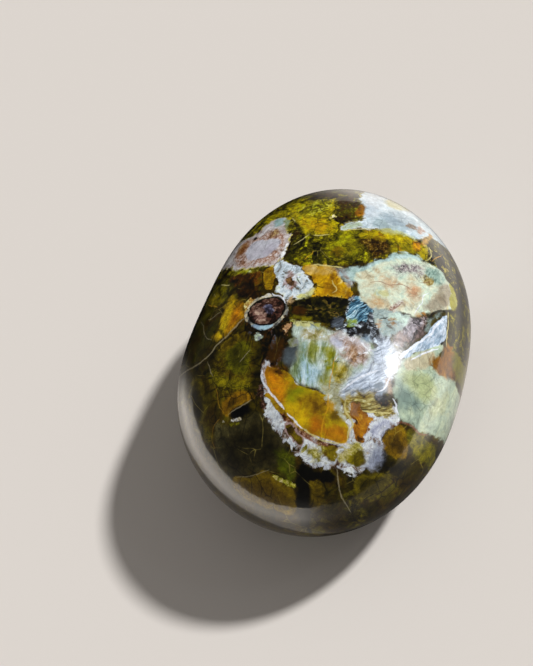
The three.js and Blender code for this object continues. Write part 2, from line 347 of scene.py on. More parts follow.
# The patches and marks on it, which the body's speckle and hairlines don't reach.
PATCHES = [
    # The ringed patch of white and mauve.
    Zone("ring_halo", "mottle", 0.15, [0x94827A, 0xB8B2B0, 0xCCC8CA, 0xDADADA], [(6.1, 7.2), (6, 9.5),
         (6.4, 12), (6.9, 14), (8, 15.4), (8.8, 16.8), (9.8, 19), (10.6, 21), (11.8, 23.4), (12.6, 26.8),
         (13.4, 27.6), (14.6, 25.4), (14.8, 23), (16.6, 20.8), (16.6, 18), (15.6, 16.8), (14.8, 15.4),
         (14.3, 14), (14.4, 12.8), (15.7, 11.6), (16.4, 10.6), (17.6, 10), (17.7, 8.8), (17.3, 7.8),
         (16.4, 7.1), (15, 6.6), (13.4, 6), (12.4, 5.5), (11, 5.5), (10.4, 5.2), (8.7, 5.4), (7.7, 5.7),
         (6.9, 6)], line=(0.2, STRAW, BROKEN)),
    Zone("ring_brown", "grit", 0.6, [0x644630, 0x94705A, 0xB49C90, 0xC4B8B4, 0xD0CACA], [(6.8, 7.4), (6.6, 9),
         (6.8, 11), (7.2, 12.8), (8, 13.8), (9.5, 14.8), (11, 15.4), (12.6, 15.4), (13.6, 14.6), (14, 13.2),
         (13.2, 12.2), (14.2, 10), (14.8, 8.6), (14.4, 7.2), (13, 6.4), (11, 6), (9, 6), (7.5, 6.5)],
         fray=1.4),
    Zone("ring_rust", "mottle", 0.6, [0x5C3C24, 0x8A5E3C, 0xA88460, BONE], [(10, 14.6), (11.6, 15.2),
         (13, 15.2), (13.4, 14), (12.4, 13.2), (10.8, 13.2)], fray=1.4),
    Zone("ring_core", "cloud", 0.25, [0xA8A4AE, 0xB4B2BC, 0xC0C0C8, 0xCCCED4], [(8.3, 8), (8.8, 7.3),
         (10.4, 6.9), (11.8, 7.3), (12.2, 8.4), (12.1, 9.6), (12.6, 11), (12.4, 12), (11.5, 12.7), (10.3, 13),
         (9, 12.5), (8.3, 11.2), (7.9, 9.4)], fray=0.6),
    Zone("ring_speck", "grit", 0.3, [0x42301E, 0x7E5E44, 0xA89070, STRAW], [(12.4, 9.2), (13.4, 9.6),
         (14.8, 9.2), (15, 8.2), (14, 7.4), (12.8, 7.6)], wobble=0.8),
    Zone("ring_sea", "cloud", 0.5, [0x6E8880, SEA, SKY, 0xB8D0CC], [(15.2, 9), (16, 9.6), (17.5, 9.6),
         (17.6, 8.6), (16.8, 7.8), (15.4, 7.4)]),
    Zone("ring_green", "mottle", 0.3, [OLIVE, SAGE], [(13.6, 7), (15.4, 7.4), (17, 7.8), (17, 7), (15.6, 6.4),
         (13.8, 6.1)]),
    Zone("ring_lip", "cloud", 0.12, [SNOW], [(7.7, 5.9), (8.6, 6), (9.6, 5.7), (10.8, 5.5), (10.6, 5.2),
         (9, 5.3), (8, 5.5)], fray=0.2),
    Zone("ring_black", "cloud", 0.08, [BLACK], [(9, 5.25), (10, 5.15), (10.9, 5.1), (10.9, 4.75), (10, 4.85),
         (9.1, 5)], fray=0.15),
    # The round brown nodule and what lies about it.
    Zone("pool", "shard", 0.3, [BLACK, BLACK, GLASS, PEAT, UMBER, SLATE], [(-12, 4.4), (-10, 4.8), (-8, 5),
         (-6.6, 7.4), (-5, 8.6), (-2, 8.8), (0, 7.6), (0.6, 5), (-0.4, 3), (-3, 1.6), (-6, 1.6), (-8, 1),
         (-10.4, 1.6), (-11.8, 2.6)]),
    Zone("pool_brown", "smooth", 0.5, [0x24180A, 0x3E2A10, 0x50391A], [(-10.6, 3.4), (-9, 4), (-7.4, 3.4),
         (-7, 2), (-8.4, 1.6), (-10.2, 2)]),
    Zone("chips", "grit", 0.1, [SLATE, ASH, SAGE, SNOW], [(-7.4, 6.2), (-6.3, 7), (-6, 6.4), (-6.4, 5.6),
         (-6.6, 4.9), (-7.1, 5.3)], wobble=0.5),
    Zone("nodule_ruffle", "grit", 0.12, [OLIVE, TAN, STRAW, CREAM], [(-2.6, 9), (-1.9, 9.7), (-0.6, 9.9),
         (0.3, 9.3), (0, 8.6), (-0.6, 7.9), (-1.4, 8.6)]),
    Zone("nodule_rim", "mottle", 0.08, [0x3C3A34, 0x7C7E7C, BONE, SNOW], [(-4.6, 7.7), (-4, 8.6), (-2.8, 9.1),
         (-1.4, 9), (-0.4, 8.3), (0, 7.7), (0.4, 6.9), (1.1, 6.1), (1, 5.8), (0.4, 5), (0.2, 4), (-0.6, 3),
         (-1.6, 2.3), (-3, 2.3), (-4.4, 3.2), (-5.3, 4.2), (-5.6, 5.6), (-5.3, 6.8)], wobble=0.2, fray=0.7),
    Zone("nodule_blue", "cloud", 0.15, [0x6A7896, SKY, 0xA8CCD4], [(-4.6, 7.8), (-5.3, 6.9), (-5.65, 5.6),
         (-5.3, 4.3), (-4.6, 3.8), (-4.4, 5.6)], wobble=0.2, fray=0.35),
    Zone("nodule", "shard", 0.06, [BLACK, 0x241814, 0x442C24, 0x644A40, 0x8A7468], [(-4.7, 6.6), (-4.2, 7.6),
         (-3.2, 8.4), (-2, 8.55), (-1, 8.1), (-0.3, 7.2), (0.1, 6), (0.2, 4.8), (-0.2, 3.8), (-1, 3),
         (-2.2, 2.75), (-3.4, 3.2), (-4.3, 4), (-4.8, 5.2)], wobble=0.2, fray=0.35, line=(0.22, BLACK)),
    Zone("nodule_pink", "shard", 0.3, [0x3A2824, 0x7E6058, 0xA48C80, 0xC0AC9C], [(-4.2, 6.8), (-3.4, 7.7),
         (-2.4, 7.5), (-2.2, 6.6), (-2.8, 5.6), (-3.8, 5.4)]),
    Zone("nodule_blue_core", "shard", 0.3, [0x241E24, 0x4A4A5E, 0x7E8296], [(-3, 5), (-2.2, 5.8), (-1.4, 5.9),
         (-1, 5.2), (-1.8, 4.6), (-2.8, 4.4)]),
    # The white star patch and the amber under it.
    Zone("star_white", "mottle", 0.1, [0x6C6658, 0xA8B4BA, ICE, 0xD8DEE0, 0xC8D4C0], [(0.5, 5), (1.3, 5.4),
         (2.5, 5.1), (4, 5.5), (6, 6.4), (6.9, 6.1), (7.2, 5.4), (6.4, 4.6), (6.3, 3), (6, 2), (5.2, 2),
         (4.8, 1), (4, 0.3), (3, -0.4), (2.2, -0.9), (1.2, -0.9), (0.4, -0.3), (-0.2, 0.9), (0, 1.8),
         (-0.3, 2.4), (-1, 2.2), (-1, 2.8), (-0.3, 3.3), (0.4, 4)], fray=0.7, line=(0.12, 0x6E5E48, BROKEN)),
    Zone("star_lime", "cloud", 0.4, [PALE_SAGE, STRAW], [(-0.2, 1.4), (0.4, 1.2), (0.8, 0), (2, -0.6),
         (2.2, -1), (1, -1.1), (0.2, -0.4)]),
    Zone("star_tan", "cloud", 0.25, [BONE, TAN], [(-1, 2.8), (0, 3), (0.6, 2.4), (0.2, 1.8), (-1, 2.1)]),
    Zone("star_pink", "mottle", 0.25, [0x6E5A50, 0x9C8A84, 0xB8AEB0, ICE], [(1.2, 2.4), (2, 3.4), (2, 4.2),
         (3, 4.2), (4.2, 4.2), (5.2, 3.8), (4.6, 3), (4.6, 2.4), (3.6, 2.4), (2.6, 2)], wobble=0.5),
    Zone("star_heart", "grit", 0.12, [0x2C2018, 0x5E4834, 0x8A6E4C], [(2.1, 2.7), (2.6, 3.5), (3.4, 3.9),
         (4.1, 3.7), (3.7, 2.9), (2.9, 2.5)], wobble=0.4),
    Zone("amber_top", "mottle", 0.1, [0x6E4A08, 0x98700C, 0xBA921E, 0xD0B04A, 0xDCCA8A], [(0.2, -0.4),
         (1, -1.1), (1.9, -1.2), (2.5, -0.9), (3.2, -0.2), (4.2, 0.4), (5, 1.4), (5.8, 1.8), (6.25, 1),
         (6.3, -1), (6.2, -3), (5.5, -4), (4, -4.8), (3.2, -5.8), (2, -6.8), (1, -6.8), (0.5, -6.2),
         (0.7, -5), (0.5, -4), (0.8, -2.8), (0.4, -2)], line=(0.14, PEAT, BROKEN)),
    Zone("amber_deep", "smooth", 0.7, [0x4A3008, 0x7A540A, 0xA07410, 0xB89028], [(1.4, -2), (2.2, -1.4),
         (2.6, -2.6), (3.4, -3.4), (2.8, -4.4), (2, -6.4), (1, -6.4), (1, -4.4), (0.8, -3)], wobble=0.8,
         cover=0.85),
    Zone("amber_light", "smooth", 0.7, [0xC49A2C, 0xD4B048, 0xDCC478], [(0.8, -1), (2.6, -1.2), (4.4, -0.6),
         (4.8, -1.4), (3, -2.2), (1.4, -2.4)], cover=0.8),
    Zone("amber_tan", "smooth", 0.7, [0x9A7A3A, 0xB49654, 0xC6AE78, 0xCEBE96], [(4.6, 1), (5.8, 1.4),
         (6.2, -0.6), (6.1, -2.8), (5.2, -3.6), (4.6, -2.2), (4.4, -0.4)]),
    Zone("amber_fade", "mottle", 0.6, [0x7E746C, 0xA09C98, 0xACBCC0, SKY], [(3.4, -5.4), (4.6, -3.8), (6, -3),
         (6.2, -4.6), (5.6, -6), (4, -6.4), (2.6, -6.6)]),
    Zone("rubble", "shard", 0.3, [BLACK, 0x24262A, SLATE, ASH, 0xB0BCC4, ICE], [(-5.4, -5), (-3, -5.6),
         (-1, -6), (1.6, -6.4), (1, -8), (0.3, -10), (-0.6, -11.5), (-2, -13), (-4, -13.4), (-6, -12.6),
         (-5.8, -10), (-5.4, -7.5)]),
    # Steel blue, the dark pillar and the pale heart.
    Zone("sage_left", "mottle", 0.3, [0x62625C, 0x8C9894, 0x98A8A8, 0xA8B4B0, 0xB2B8AA], [(-4.4, -12.4),
         (-3.4, -10.9), (-2.4, -9.9), (-1, -9.9), (0.4, -9), (0.6, -12), (0, -14.8), (-2, -15),
         (-3.4, -13.8)]),
    Zone("sage_left_tan", "mottle", 0.3, [0x947A66, 0xB09A84, 0xC0B4A0], [(-3.6, -11), (-2.8, -10.5),
         (-2.1, -10.9), (-2.3, -11.5), (-3.2, -11.6)], fray=1.8),
    Zone("sage_left_mint", "smooth", 0.25, [0xA4B8AC, 0xBACCC2, 0xC4D4CC], [(-1.4, -12.4), (-0.6, -12),
         (-0.2, -13), (-0.1, -14.6), (-0.6, -15.2), (-1.2, -14.6), (-1.4, -13.4)]),
    Zone("sage_left_spot", "mottle", 0.3, [0x5E401A, 0x8A642C, 0xA08454], [(-2.4, -12.6), (-1.9, -12.2),
         (-1.3, -12.7), (-1.5, -13.4), (-2.1, -13.5)], fray=1.6),
    Zone("steel_patch", "steel", 0.15, [0x0A1014, 0x1A2C3A, 0x3E6278, 0x7CA0B4, 0xB0CCD6, SNOW], [(-4, -6.9),
         (-3, -6.6), (-2.2, -6.2), (-1.6, -6.6), (-0.9, -6.3), (-0.2, -6.6), (0.6, -7.2), (1.6, -7.1),
         (1.2, -7.8), (0.3, -8.6), (0.1, -9.6), (-1, -10), (-2.2, -9.9), (-3, -9.2), (-3.2, -8.4), (-3.8, -8),
         (-4.1, -7.4)], line=(0.18, BLACK, BROKEN)),
    Zone("steel_lime", "mottle", 0.6, [0x8CA08C, 0x86962E, 0x9AAA50, 0x9CB49C], [(-4, -7.4), (-3.9, -6.8),
         (-3, -6.6), (-2.3, -6.8), (-2.2, -7.5), (-2.8, -8.1), (-3.6, -8)], fray=1.8),
    Zone("heart", "bands", 0.4, [0x6E7C4C, 0x98A68E, 0xB0BEB4, 0xC0CCC8, 0xD0D8D8], [(-13.9, -2),
         (-12.6, -0.6), (-11.4, 0.2), (-10.8, -0.3), (-8, -0.6), (-6.8, -0.2), (-6.2, 0.7), (-5.2, 1.2),
         (-4.2, 1), (-3.8, -0.5), (-4.1, -2.8), (-4.7, -3.9), (-4.9, -5), (-5, -6.5), (-5, -8), (-5.4, -9.6),
         (-6, -10.9), (-7.4, -11.4), (-9.6, -11), (-11, -9.6), (-13, -8), (-15.2, -7.6), (-15.2, -6),
         (-14.2, -4.8), (-13.9, -3.5)], fray=0.6),
    Zone("heart_blue", "bands", 0.8, [0x5E7048, 0x8AA298, SKY, 0xBCD0D6, 0xD4DEDE], [(-13.8, -3.6),
         (-13.2, -1.4), (-12, -0.8), (-9, -1.1), (-7, -1), (-7.6, -1.7), (-10, -2), (-10.6, -3.2),
         (-10.8, -4.6), (-12.6, -4.6)]),
    Zone("heart_green_bars", "bands", 0.6, [0x4E5A28, 0x6E7C42, 0x8A9A78], [(-12.6, -0.3), (-11.2, 0),
         (-10, -0.7), (-8, -0.7), (-6.6, -0.5), (-7, -1), (-9, -1.1), (-11, -1.1), (-12.8, -1.2)], cover=0.8),
    Zone("heart_pink", "mottle", 0.7, [0x6A5444, 0xA08C80, 0xB8AEAC, 0xC8C4C8, SNOW], [(-7.6, -6),
         (-6.6, -4.6), (-5.2, -4.6), (-5, -6.4), (-5, -8), (-5.6, -10), (-7, -10.8), (-9.6, -10.4),
         (-10, -8.8), (-9.4, -7.2), (-8.4, -6.8)], fray=1.5),
    Zone("heart_cream", "mottle", 0.6, [0x6A6A34, 0x948E60, 0xACA68A, 0xBCBCA8, ICE], [(-7.2, -4.6),
         (-7, -2.2), (-6.8, -1), (-5.4, -0.4), (-4.6, -1.6), (-4.7, -3.6), (-5.6, -4.8)]),
    Zone("heart_lilac", "cloud", 0.6, [0xB4B4C4, ICE], [(-7.8, -6.6), (-6.8, -4.9), (-5.8, -5), (-5.9, -6.2),
         (-7, -7)]),
    Zone("heart_brown", "grit", 0.6, [0x4E3624, 0x86684A, 0xAC927A, 0xC4B8AE], [(-9.6, -8.6), (-9, -7.6),
         (-7.8, -7.4), (-6.6, -7.6), (-6.8, -8.8), (-8, -9.2), (-9.2, -9.4)], wobble=0.9, fray=1.5),
    Zone("heart_ochre", "mottle", 0.8, [0x5E5418, 0x8A7E38, 0xA89C58, 0xBEB88A], [(-14, -6.4), (-12, -5.9),
         (-10, -6.1), (-9.4, -7), (-9.9, -8.2), (-11.4, -8.6), (-12.8, -7.8)], fray=1.6),
    Zone("heart_lens", "bands", 0.8, [0x5A6018, 0x767C26, 0x90944A, 0xAAAE84], [(-10.4, -3.1), (-9.3, -2.3),
         (-7.8, -1.8), (-6.8, -2.2), (-7.2, -3.4), (-7.5, -4.6), (-8.2, -5.6), (-10, -5.9), (-11, -5.5),
         (-11, -5), (-10, -4.8), (-8.8, -4.6), (-8.4, -3.8), (-9.4, -3.4)], fray=1.6, cover=0.9),
    Zone("heart_moss", "smooth", 0.7, [0x56580A, 0x6C6E12, 0x88882A, 0xA0A060], [(-13.9, -5.7), (-13.4, -4.9),
         (-12.4, -4.4), (-10.8, -4.9), (-9.4, -5), (-8, -4.4), (-7.4, -4.9), (-8, -5.6), (-10, -5.85),
         (-12.6, -5.8)], fray=1.6, cover=0.9),
    Zone("eye_slate", "cloud", 0.5, [0x40464A, 0x525A5E, 0x626A6A], [(-11, 0.7), (-10.6, 1.3), (-9.6, 1.5),
         (-8.5, 1.3), (-8, 0.7), (-8, 0), (-8.3, -0.5), (-9.5, -0.5), (-10.6, -0.2), (-11.1, 0.2)], fray=0.5),
    Zone("eye_side", "mottle", 0.2, [0x5A5E30, 0x7C8068, ASH], [(-8, 0.9), (-7.2, 1.1), (-6.6, 0.5),
         (-7, -0.2), (-8, -0.4)]),
    Zone("pale_strip", "mottle", 0.15, [0x9A9A50, 0xB4B47C, 0xC8C8A0], [(-4.9, 0.9), (-4.2, 1), (-3.7, 1.6),
         (-3.2, 1.2), (-3.7, 0.2), (-3.8, -1), (-4, -2.6), (-4.6, -3.6), (-4.9, -2), (-4.8, -0.4)]),
    Zone("pillar", "shard", 0.12, [BLACK, BLACK, 0x1A1A0A, BOTTLE, DEEP_OLIVE, 0x6A5A34], [(-3.7, 1.6),
         (-2.6, 1.9), (-1.9, 1.8), (-1.3, 2), (-0.8, 1.6), (-0.3, 0.9), (-0.1, 0), (0.2, -0.6), (0.3, -1.8),
         (0.6, -3), (0.5, -4), (0.7, -5), (0.5, -6.3), (-1, -6.3), (-2, -6), (-2.7, -6.7), (-3.6, -6.5),
         (-4.5, -6.3), (-4.7, -5.4), (-4.3, -5), (-4.5, -4), (-4, -3.7), (-3.6, -2.7), (-3.8, -1),
         (-3.8, 0.5)]),
    Zone("pillar_moss", "cloud", 0.3, [OLIVE, MOSS], [(-3.7, 1.4), (-2.9, 1.6), (-2.8, 0.6), (-3.1, -0.6),
         (-3.2, -1.6), (-3.7, -1.4), (-3.8, 0.2)]),
    Zone("pillar_brown", "cloud", 0.3, [PEAT, UMBER], [(-2.9, 1.4), (-1.7, 1.6), (-1.7, 0.2), (-2.2, -0.8),
         (-3, -0.6)]),
    Zone("pillar_slate", "steel", 0.25, [0x2A2C30, 0x50565E, 0x7C8894], [(-4.6, -6.2), (-4.5, -4.8),
         (-3.9, -4.4), (-3.2, -5), (-2.8, -5.6), (-3, -6.2)]),
    Zone("smudge", "shard", 0.15, [BLACK, BLACK, BLACK, 0x1C1A20, 0x50565E, 0xA0A8B0], [(-5.3, -6.8),
         (-4.3, -6.6), (-3.9, -7.8), (-3.2, -8.9), (-2.8, -9.8), (-3.2, -10.6), (-3.8, -11.3), (-4.3, -11.1),
         (-5.5, -10.6), (-5.4, -10.2), (-4.4, -10.2), (-4.7, -9.4), (-5.1, -8.6), (-5.5, -7.8)]),
    Zone("smudge_blue", "cloud", 0.4, [0x5E6E7C, 0x7E90A0, 0x9AA8B4], [(-6, -10.2), (-5.8, -9.2),
         (-5.2, -8.8), (-4.9, -9.6), (-4.8, -10), (-5.4, -10.4)]),
    Zone("crumbs", "grit", 0.08, [0x5A4634, 0x9A8064, PEACH, CREAM], [(-6.6, 1.3), (-6.3, 1.9), (-5.8, 2.3),
         (-5.2, 2.6), (-4.7, 2.2), (-4.4, 1.6), (-4.5, 1.1), (-5.3, 1.2), (-5.9, 1.5), (-6.2, 1.2)],
         wobble=0.4, line=(0.15, PEAT)),
    # The cream patch.
    Zone("cream_rim", "smooth", 0.3, [0x7A908A, 0x98AEAA, 0xB2C6C4, 0xC6D6D6], [(3.6, -6.3), (4.8, -5.2),
         (5.8, -4.2), (6.4, -5), (6.9, -6.6), (8, -8.2), (9.2, -9.8), (10.6, -11.1), (11.5, -12.6),
         (11.7, -14), (11.2, -15.2), (9, -15), (6, -10)]),
    Zone("cream", "smooth", 0.25, [0xA8967C, 0xB8AC92, 0xC2C0AA, 0xCAD0BE, 0xC4D0C0, 0xB2C4B8, 0xCAC4B0],
         [(0.2, -8.7), (1.2, -7.8), (2, -7.2), (3, -6.9), (4.4, -6.5), (5.6, -6.3), (6.4, -7.6), (7.8, -9.2),
         (9, -10.6), (10, -12), (10.8, -13.4), (11.1, -15), (11, -16.6), (10.4, -18), (9.4, -18.8),
         (8.2, -19.6), (6.4, -20.2), (4.8, -20.1), (3.8, -19.2), (2.6, -18.2), (1.5, -17.4), (0.6, -16.2),
         (0.3, -15.2), (0.5, -13.6), (0.1, -12.4), (-0.3, -11.2), (0, -10)], fray=0.45),
    Zone("cream_peach", "mottle", 0.8, [0xA88A66, 0xBCA88A, 0xC6BEA6], [(0.2, -9.8), (1.2, -9.4), (2, -9.8),
         (2, -11), (1.6, -11.8), (0.6, -11.6), (0.1, -10.8)], wobble=1.4, fray=1.8),
    Zone("cream_lens", "smooth", 0.3, [0xB4B48A, 0xC6C8A4], [(2, -10), (2.8, -9.7), (3.4, -10.4),
         (3.2, -11.3), (2.4, -11.6), (1.9, -11)]),
    Zone("cream_peach_mid", "mottle", 0.9, [0xB4987A, 0xC2B096, 0xC8C0A8], [(3.9, -11), (4.6, -10.2),
         (5.8, -10.3), (6.2, -11.2), (5.4, -12), (4.6, -12.4), (3.8, -12.2)], wobble=1.6, fray=1.8),
    Zone("cream_peach_low", "mottle", 0.9, [0xAE8466, 0xBEA084, 0xC6B8A0], [(3.4, -14.8), (4, -13.9),
         (5, -13.8), (5.6, -14.6), (4.8, -15.4), (3.9, -15.6)], wobble=1.2, fray=1.6),
    Zone("cream_scar", "grit", 0.25, [0x6A4A3E, 0x9C8478, 0xC8C8C0, 0xB0A294], [(0, -11.8), (0.8, -12),
         (1.6, -12.6), (2.2, -13.4), (1.4, -13.5), (0.6, -12.9), (0, -12.4)], fray=1.4),
    Zone("cream_mauve", "grit", 0.8, [0x3E3A3C, 0x7E787A, 0xA8A2A0, 0xB4BAB0, 0xBCC4BA], [(7, -11),
         (8.2, -11.4), (9.4, -13.4), (10.2, -15.4), (9.4, -16), (8, -15.4), (7.4, -13.4), (6.6, -12)],
         fray=1.6),
    Zone("cream_teal", "wedge", 0.6, [0x52645C, 0x7A9088, 0x98ACA2, 0xB0BCAE], [(8.2, -16), (9.8, -15.6),
         (10.6, -16.4), (10.2, -18), (9.2, -18.8), (7.8, -18.2), (7.6, -17)]),
    Zone("cream_spot", "grit", 0.4, [0x3E2E14, 0x86743C, 0xA89C74, 0xB0B098], [(6.9, -16), (7.6, -15.8),
         (7.9, -16.5), (7.4, -17), (6.8, -16.7)], fray=2.0),
    Zone("cream_low", "smooth", 0.5, [0x7A7060, 0x948C7C, 0xA4A090, 0xB2B2A4], [(1.6, -17), (2.6, -16.2),
         (5, -17.4), (8, -18.2), (9, -18.8), (7.6, -19.6), (5, -19.8), (3.6, -18.8)]),
    Zone("cream_foot", "cloud", 0.2, [MOSS, 0x9C9850, PALE_SAGE], [(4.4, -19.9), (5.4, -19.6), (7, -19.6),
         (8.4, -19.4), (9, -19), (8.6, -20), (7, -20.4), (5, -20.4)]),
    Zone("cream_ochre", "mottle", 0.35, [0x7A4C20, 0xA07840, 0xB09870], [(0.3, -15.6), (1.2, -15.8),
         (2, -16.4), (1.8, -17.2), (1.1, -17.1), (0.5, -16.4)], fray=1.8),
    # The amber fan inside its jagged white band.
    Zone("fan_band", "mottle", 0.15, [0x2E2018, 0x5E4A3C, 0x948A80, 0xB4BAC4, 0xCCD2D6, 0xD8DCDC, 0xA6AAB8,
         0xBEB49C, 0x846E4C], [(-10.4, 4.1), (-11, 4.4), (-12.5, 4.3), (-14, 4.1), (-15.5, 3.7), (-17, 3.2),
         (-18.2, 2.5), (-19.2, 1.7), (-20.2, 0.8), (-21.2, -0.3), (-22.2, -1.8), (-23, -3), (-23.7, -4),
         (-24, -5.2), (-23.8, -6.5), (-23.5, -7.6), (-23.5, -8.6), (-23.9, -9.8), (-23.2, -11),
         (-22.4, -11.8), (-21.9, -12.8), (-21, -13.6), (-20, -13.7), (-18.8, -13.3), (-17.8, -13.4),
         (-17, -14), (-16.3, -14.8), (-15.6, -15.4), (-14.8, -15.4), (-13.9, -15), (-13.6, -14.8),
         (-14.5, -12), (-15, -9), (-15.2, -7), (-14.4, -4.8), (-14, -3.6), (-14, -2), (-13.4, -0.8),
         (-12.3, 0.2), (-11.5, 1.6), (-11.2, 3)], wobble=0.5, fray=1.1, depth=(2.6, 0.68),
         line=(0.14, 0x3A2A20, BROKEN)),
    Zone("band_shade", "grit", 0.25, [0x2A1810, 0x5A3420, 0x8A6A54, 0xC0B0A8], [(-17, 1.4), (-18, 0.4),
         (-19.2, -1), (-20.2, -2.6), (-21, -4.4), (-21.4, -6), (-21.5, -7.6), (-20.9, -8.4), (-20.6, -7),
         (-20.4, -5.2), (-19.9, -3.8), (-19, -2.2), (-18, -0.8), (-17, 0.4), (-16.4, 1.2)]),
    Zone("crust_dark", "grit", 0.2, [BLACK, 0x2E1C14, 0x5E4438, 0x9A8E88], [(-17.6, 3.2), (-16, 3.9),
         (-14.4, 4.4), (-12.8, 4.5), (-13.2, 3.9), (-14.6, 3.5), (-15.8, 2.9), (-17, 2.4)]),
    Zone("crust_violet", "smooth", 0.7, [0x5E626E, 0x868C9C, 0xAEB4C0], [(-22.6, -11.8), (-21.6, -12),
         (-20.6, -12.6), (-19.4, -12.9), (-19.6, -13.8), (-21, -13.9), (-22.2, -13)], fray=1.4),
    Zone("crust_lavender", "mottle", 0.5, [0x7A7E90, 0xA4A8B8, 0xBEC2CC, 0xD4D6DA], [(-18.4, -11.9),
         (-17.2, -12.2), (-16.2, -13), (-15.6, -14.2), (-16.4, -14.6), (-17.4, -13.6), (-18.4, -13)],
         fray=1.4),
    Zone("band_cell_long", "mottle", 0.1, [0x2E2008, 0x5C4A0C, 0x7A6A14], [(-22, -3), (-21.1, -1.8),
         (-20.4, -0.8), (-19.6, -0.1), (-18.9, -0.3), (-19.1, -1.3), (-19.9, -2.2), (-20.6, -3),
         (-21.4, -3.3)], fray=0.5, line=(0.15, 0xA08C88)),
    Zone("band_cell_top", "mottle", 0.1, [0x6A4E0C, 0x9A7A14, 0xA88E28], [(-17.9, 0.4), (-17.2, 1.4),
         (-16.3, 2.5), (-15.5, 3.2), (-15.1, 2.9), (-15.8, 1.9), (-16.6, 0.9), (-17.4, -0.1)], fray=0.5),
    Zone("band_cell_mid", "mottle", 0.2, [0x5A4408, 0x7A6C0C, 0x96882A], [(-22.9, -7.2), (-22.4, -6),
         (-21.4, -5.7), (-20.9, -6.8), (-21, -8), (-22.2, -8.2)], fray=0.6),
    Zone("band_cell_low", "mottle", 0.2, [0x4E4410, 0x6A6014, 0x8E8424], [(-22.9, -9.8), (-22.3, -9),
         (-21.4, -9.3), (-20.6, -10.4), (-20.5, -11.5), (-21.6, -11.8), (-22.6, -11)], fray=0.6),
    Zone("band_straw", "grit", 0.5, [0x6A6420, 0x96904C, 0xB8B484], [(-23.2, -6), (-23, -4.2), (-22, -3.2),
         (-21.2, -4.2), (-21.4, -5.8), (-22.4, -6.2)], fray=1.8),
    Zone("band_straw_low", "grit", 0.4, [0x6E6624, 0x9A9450, 0xB0A878, 0xB8B8A0], [(-22.6, -9), (-22.4, -8),
         (-21.2, -8), (-21, -9.2), (-20.2, -9.8), (-19.6, -10.8), (-20.4, -11), (-21, -10)], fray=1.6),
    Zone("fan", "smooth", 0.12, [0x7A540A, 0x96740A, 0xA88E0C, 0xB09A10, 0xB8A41C], [(-11.3, 3.7),
         (-12.6, 3.6), (-13.8, 3.1), (-15, 2.1), (-16, 1), (-17, -0.2), (-18.2, -1.5), (-19.2, -2.7),
         (-19.8, -4), (-20.3, -5.5), (-20.5, -7), (-20.3, -8.4), (-19.8, -9.1), (-18, -9.1), (-17.3, -8.6),
         (-16.3, -7.6), (-15.4, -7.2), (-15, -6.2), (-14.3, -4.8), (-13.9, -3.6), (-13.9, -2), (-13.3, -0.8),
         (-12.2, 0.2), (-11.6, 1.3), (-11.4, 2.6)], fray=0.15),
    Zone("fan_amber", "smooth", 1.0, [0x9A5E02, 0xC07C02, 0xD08E04, 0xD8A010], [(-12, 3.5), (-13.8, 3),
         (-15, 2), (-16, 0.9), (-16.4, 0.2), (-15, 0.2), (-13.4, 0.4), (-12.5, 1.4), (-11.9, 2.6)]),
    Zone("fan_brown", "mottle", 0.7, [0x3A2408, BROWN, 0x8A5A06], [(-12, 3.2), (-11.4, 3.4), (-11.2, 2),
         (-11.6, 0.8), (-12.6, 0.3), (-12.6, 1.4), (-12.2, 2.2)]),
    Zone("fan_yellow", "smooth", 0.8, [0xB08E06, 0xC8A80C, 0xD2B414], [(-16.8, -0.1), (-18, -1.5),
         (-19, -2.8), (-19.4, -3.9), (-18.2, -3.8), (-17, -3.6), (-16.8, -2), (-16.4, -0.8)]),
    Zone("fan_olive", "cloud", 0.8, [0x6A6C0A, 0x86860E, 0x989A16], [(-16.2, -0.2), (-14.4, -0.2),
         (-13.8, -1.4), (-14, -3), (-14.6, -3.8), (-15.2, -2), (-16, -1)]),
    Zone("fan_shade", "smooth", 1.0, [0x5A4006, 0x7A5A06, 0x96780A], [(-16.4, -3), (-15, -2.4), (-14.4, -4),
         (-15, -5.6), (-16.4, -5.7), (-18, -5.4), (-17.4, -4.2)], wobble=2.0, fray=1.6),
    Zone("fan_burnt", "smooth", 0.8, [0x8E5402, 0xAE7004, 0xBC8A10], [(-19.7, -4), (-18.4, -4), (-17.6, -4.6),
         (-17.6, -5.6), (-20.1, -5.5)]),
    Zone("fan_low", "smooth", 0.5, [0x8A5602, 0xA8700A, 0xB8880A], [(-20.4, -6), (-18.6, -6), (-18.2, -7.4),
         (-18.4, -8.9), (-19.8, -9), (-20.3, -8.2)]),
    Zone("fan_grey", "cloud", 0.6, [0x4E3C0C, 0x6A5414, 0x7E6A28], [(-17.8, -6.4), (-16.4, -6.4),
         (-15.4, -6.6), (-15.6, -7.4), (-16.8, -8), (-17.4, -8.8), (-18, -7.8)]),
    Zone("fan_tan", "cloud", 0.25, [0xA88438, 0xB89850], [(-17.2, -6.3), (-15.2, -6.3), (-15.3, -7.1),
         (-16.4, -7.2)]),
    Zone("fan_veil", "mottle", 0.5, [0x94906A, 0xA8A890, 0xB8BCA8, 0xC8CCC4], [(-17.8, -8.9), (-17.2, -8),
         (-16.4, -7.2), (-15.2, -6.6), (-14.4, -5.4), (-13.9, -4.6), (-13.2, -5.4), (-13, -7), (-13.6, -8),
         (-14.8, -8.2), (-16, -8.4), (-17, -9.2)], fray=1.6),
    Zone("hood", "strands", 0.2, [0x5E4C1C, 0x8A7838, 0xB0A468, 0xC8C4A0], [(-18, -9.3), (-17.2, -8.7),
         (-16.2, -7.7), (-15.2, -7.4), (-14, -7.6), (-13.2, -8.6), (-12.9, -10), (-14, -9.4), (-15.4, -8.9),
         (-16.8, -9.4)]),
    Zone("strands", "strands", 0.2, [0x2A1C0C, 0x5E4E1E, 0x8A7C44, 0xACA472, 0xC4C29C], [(-16, -10.6),
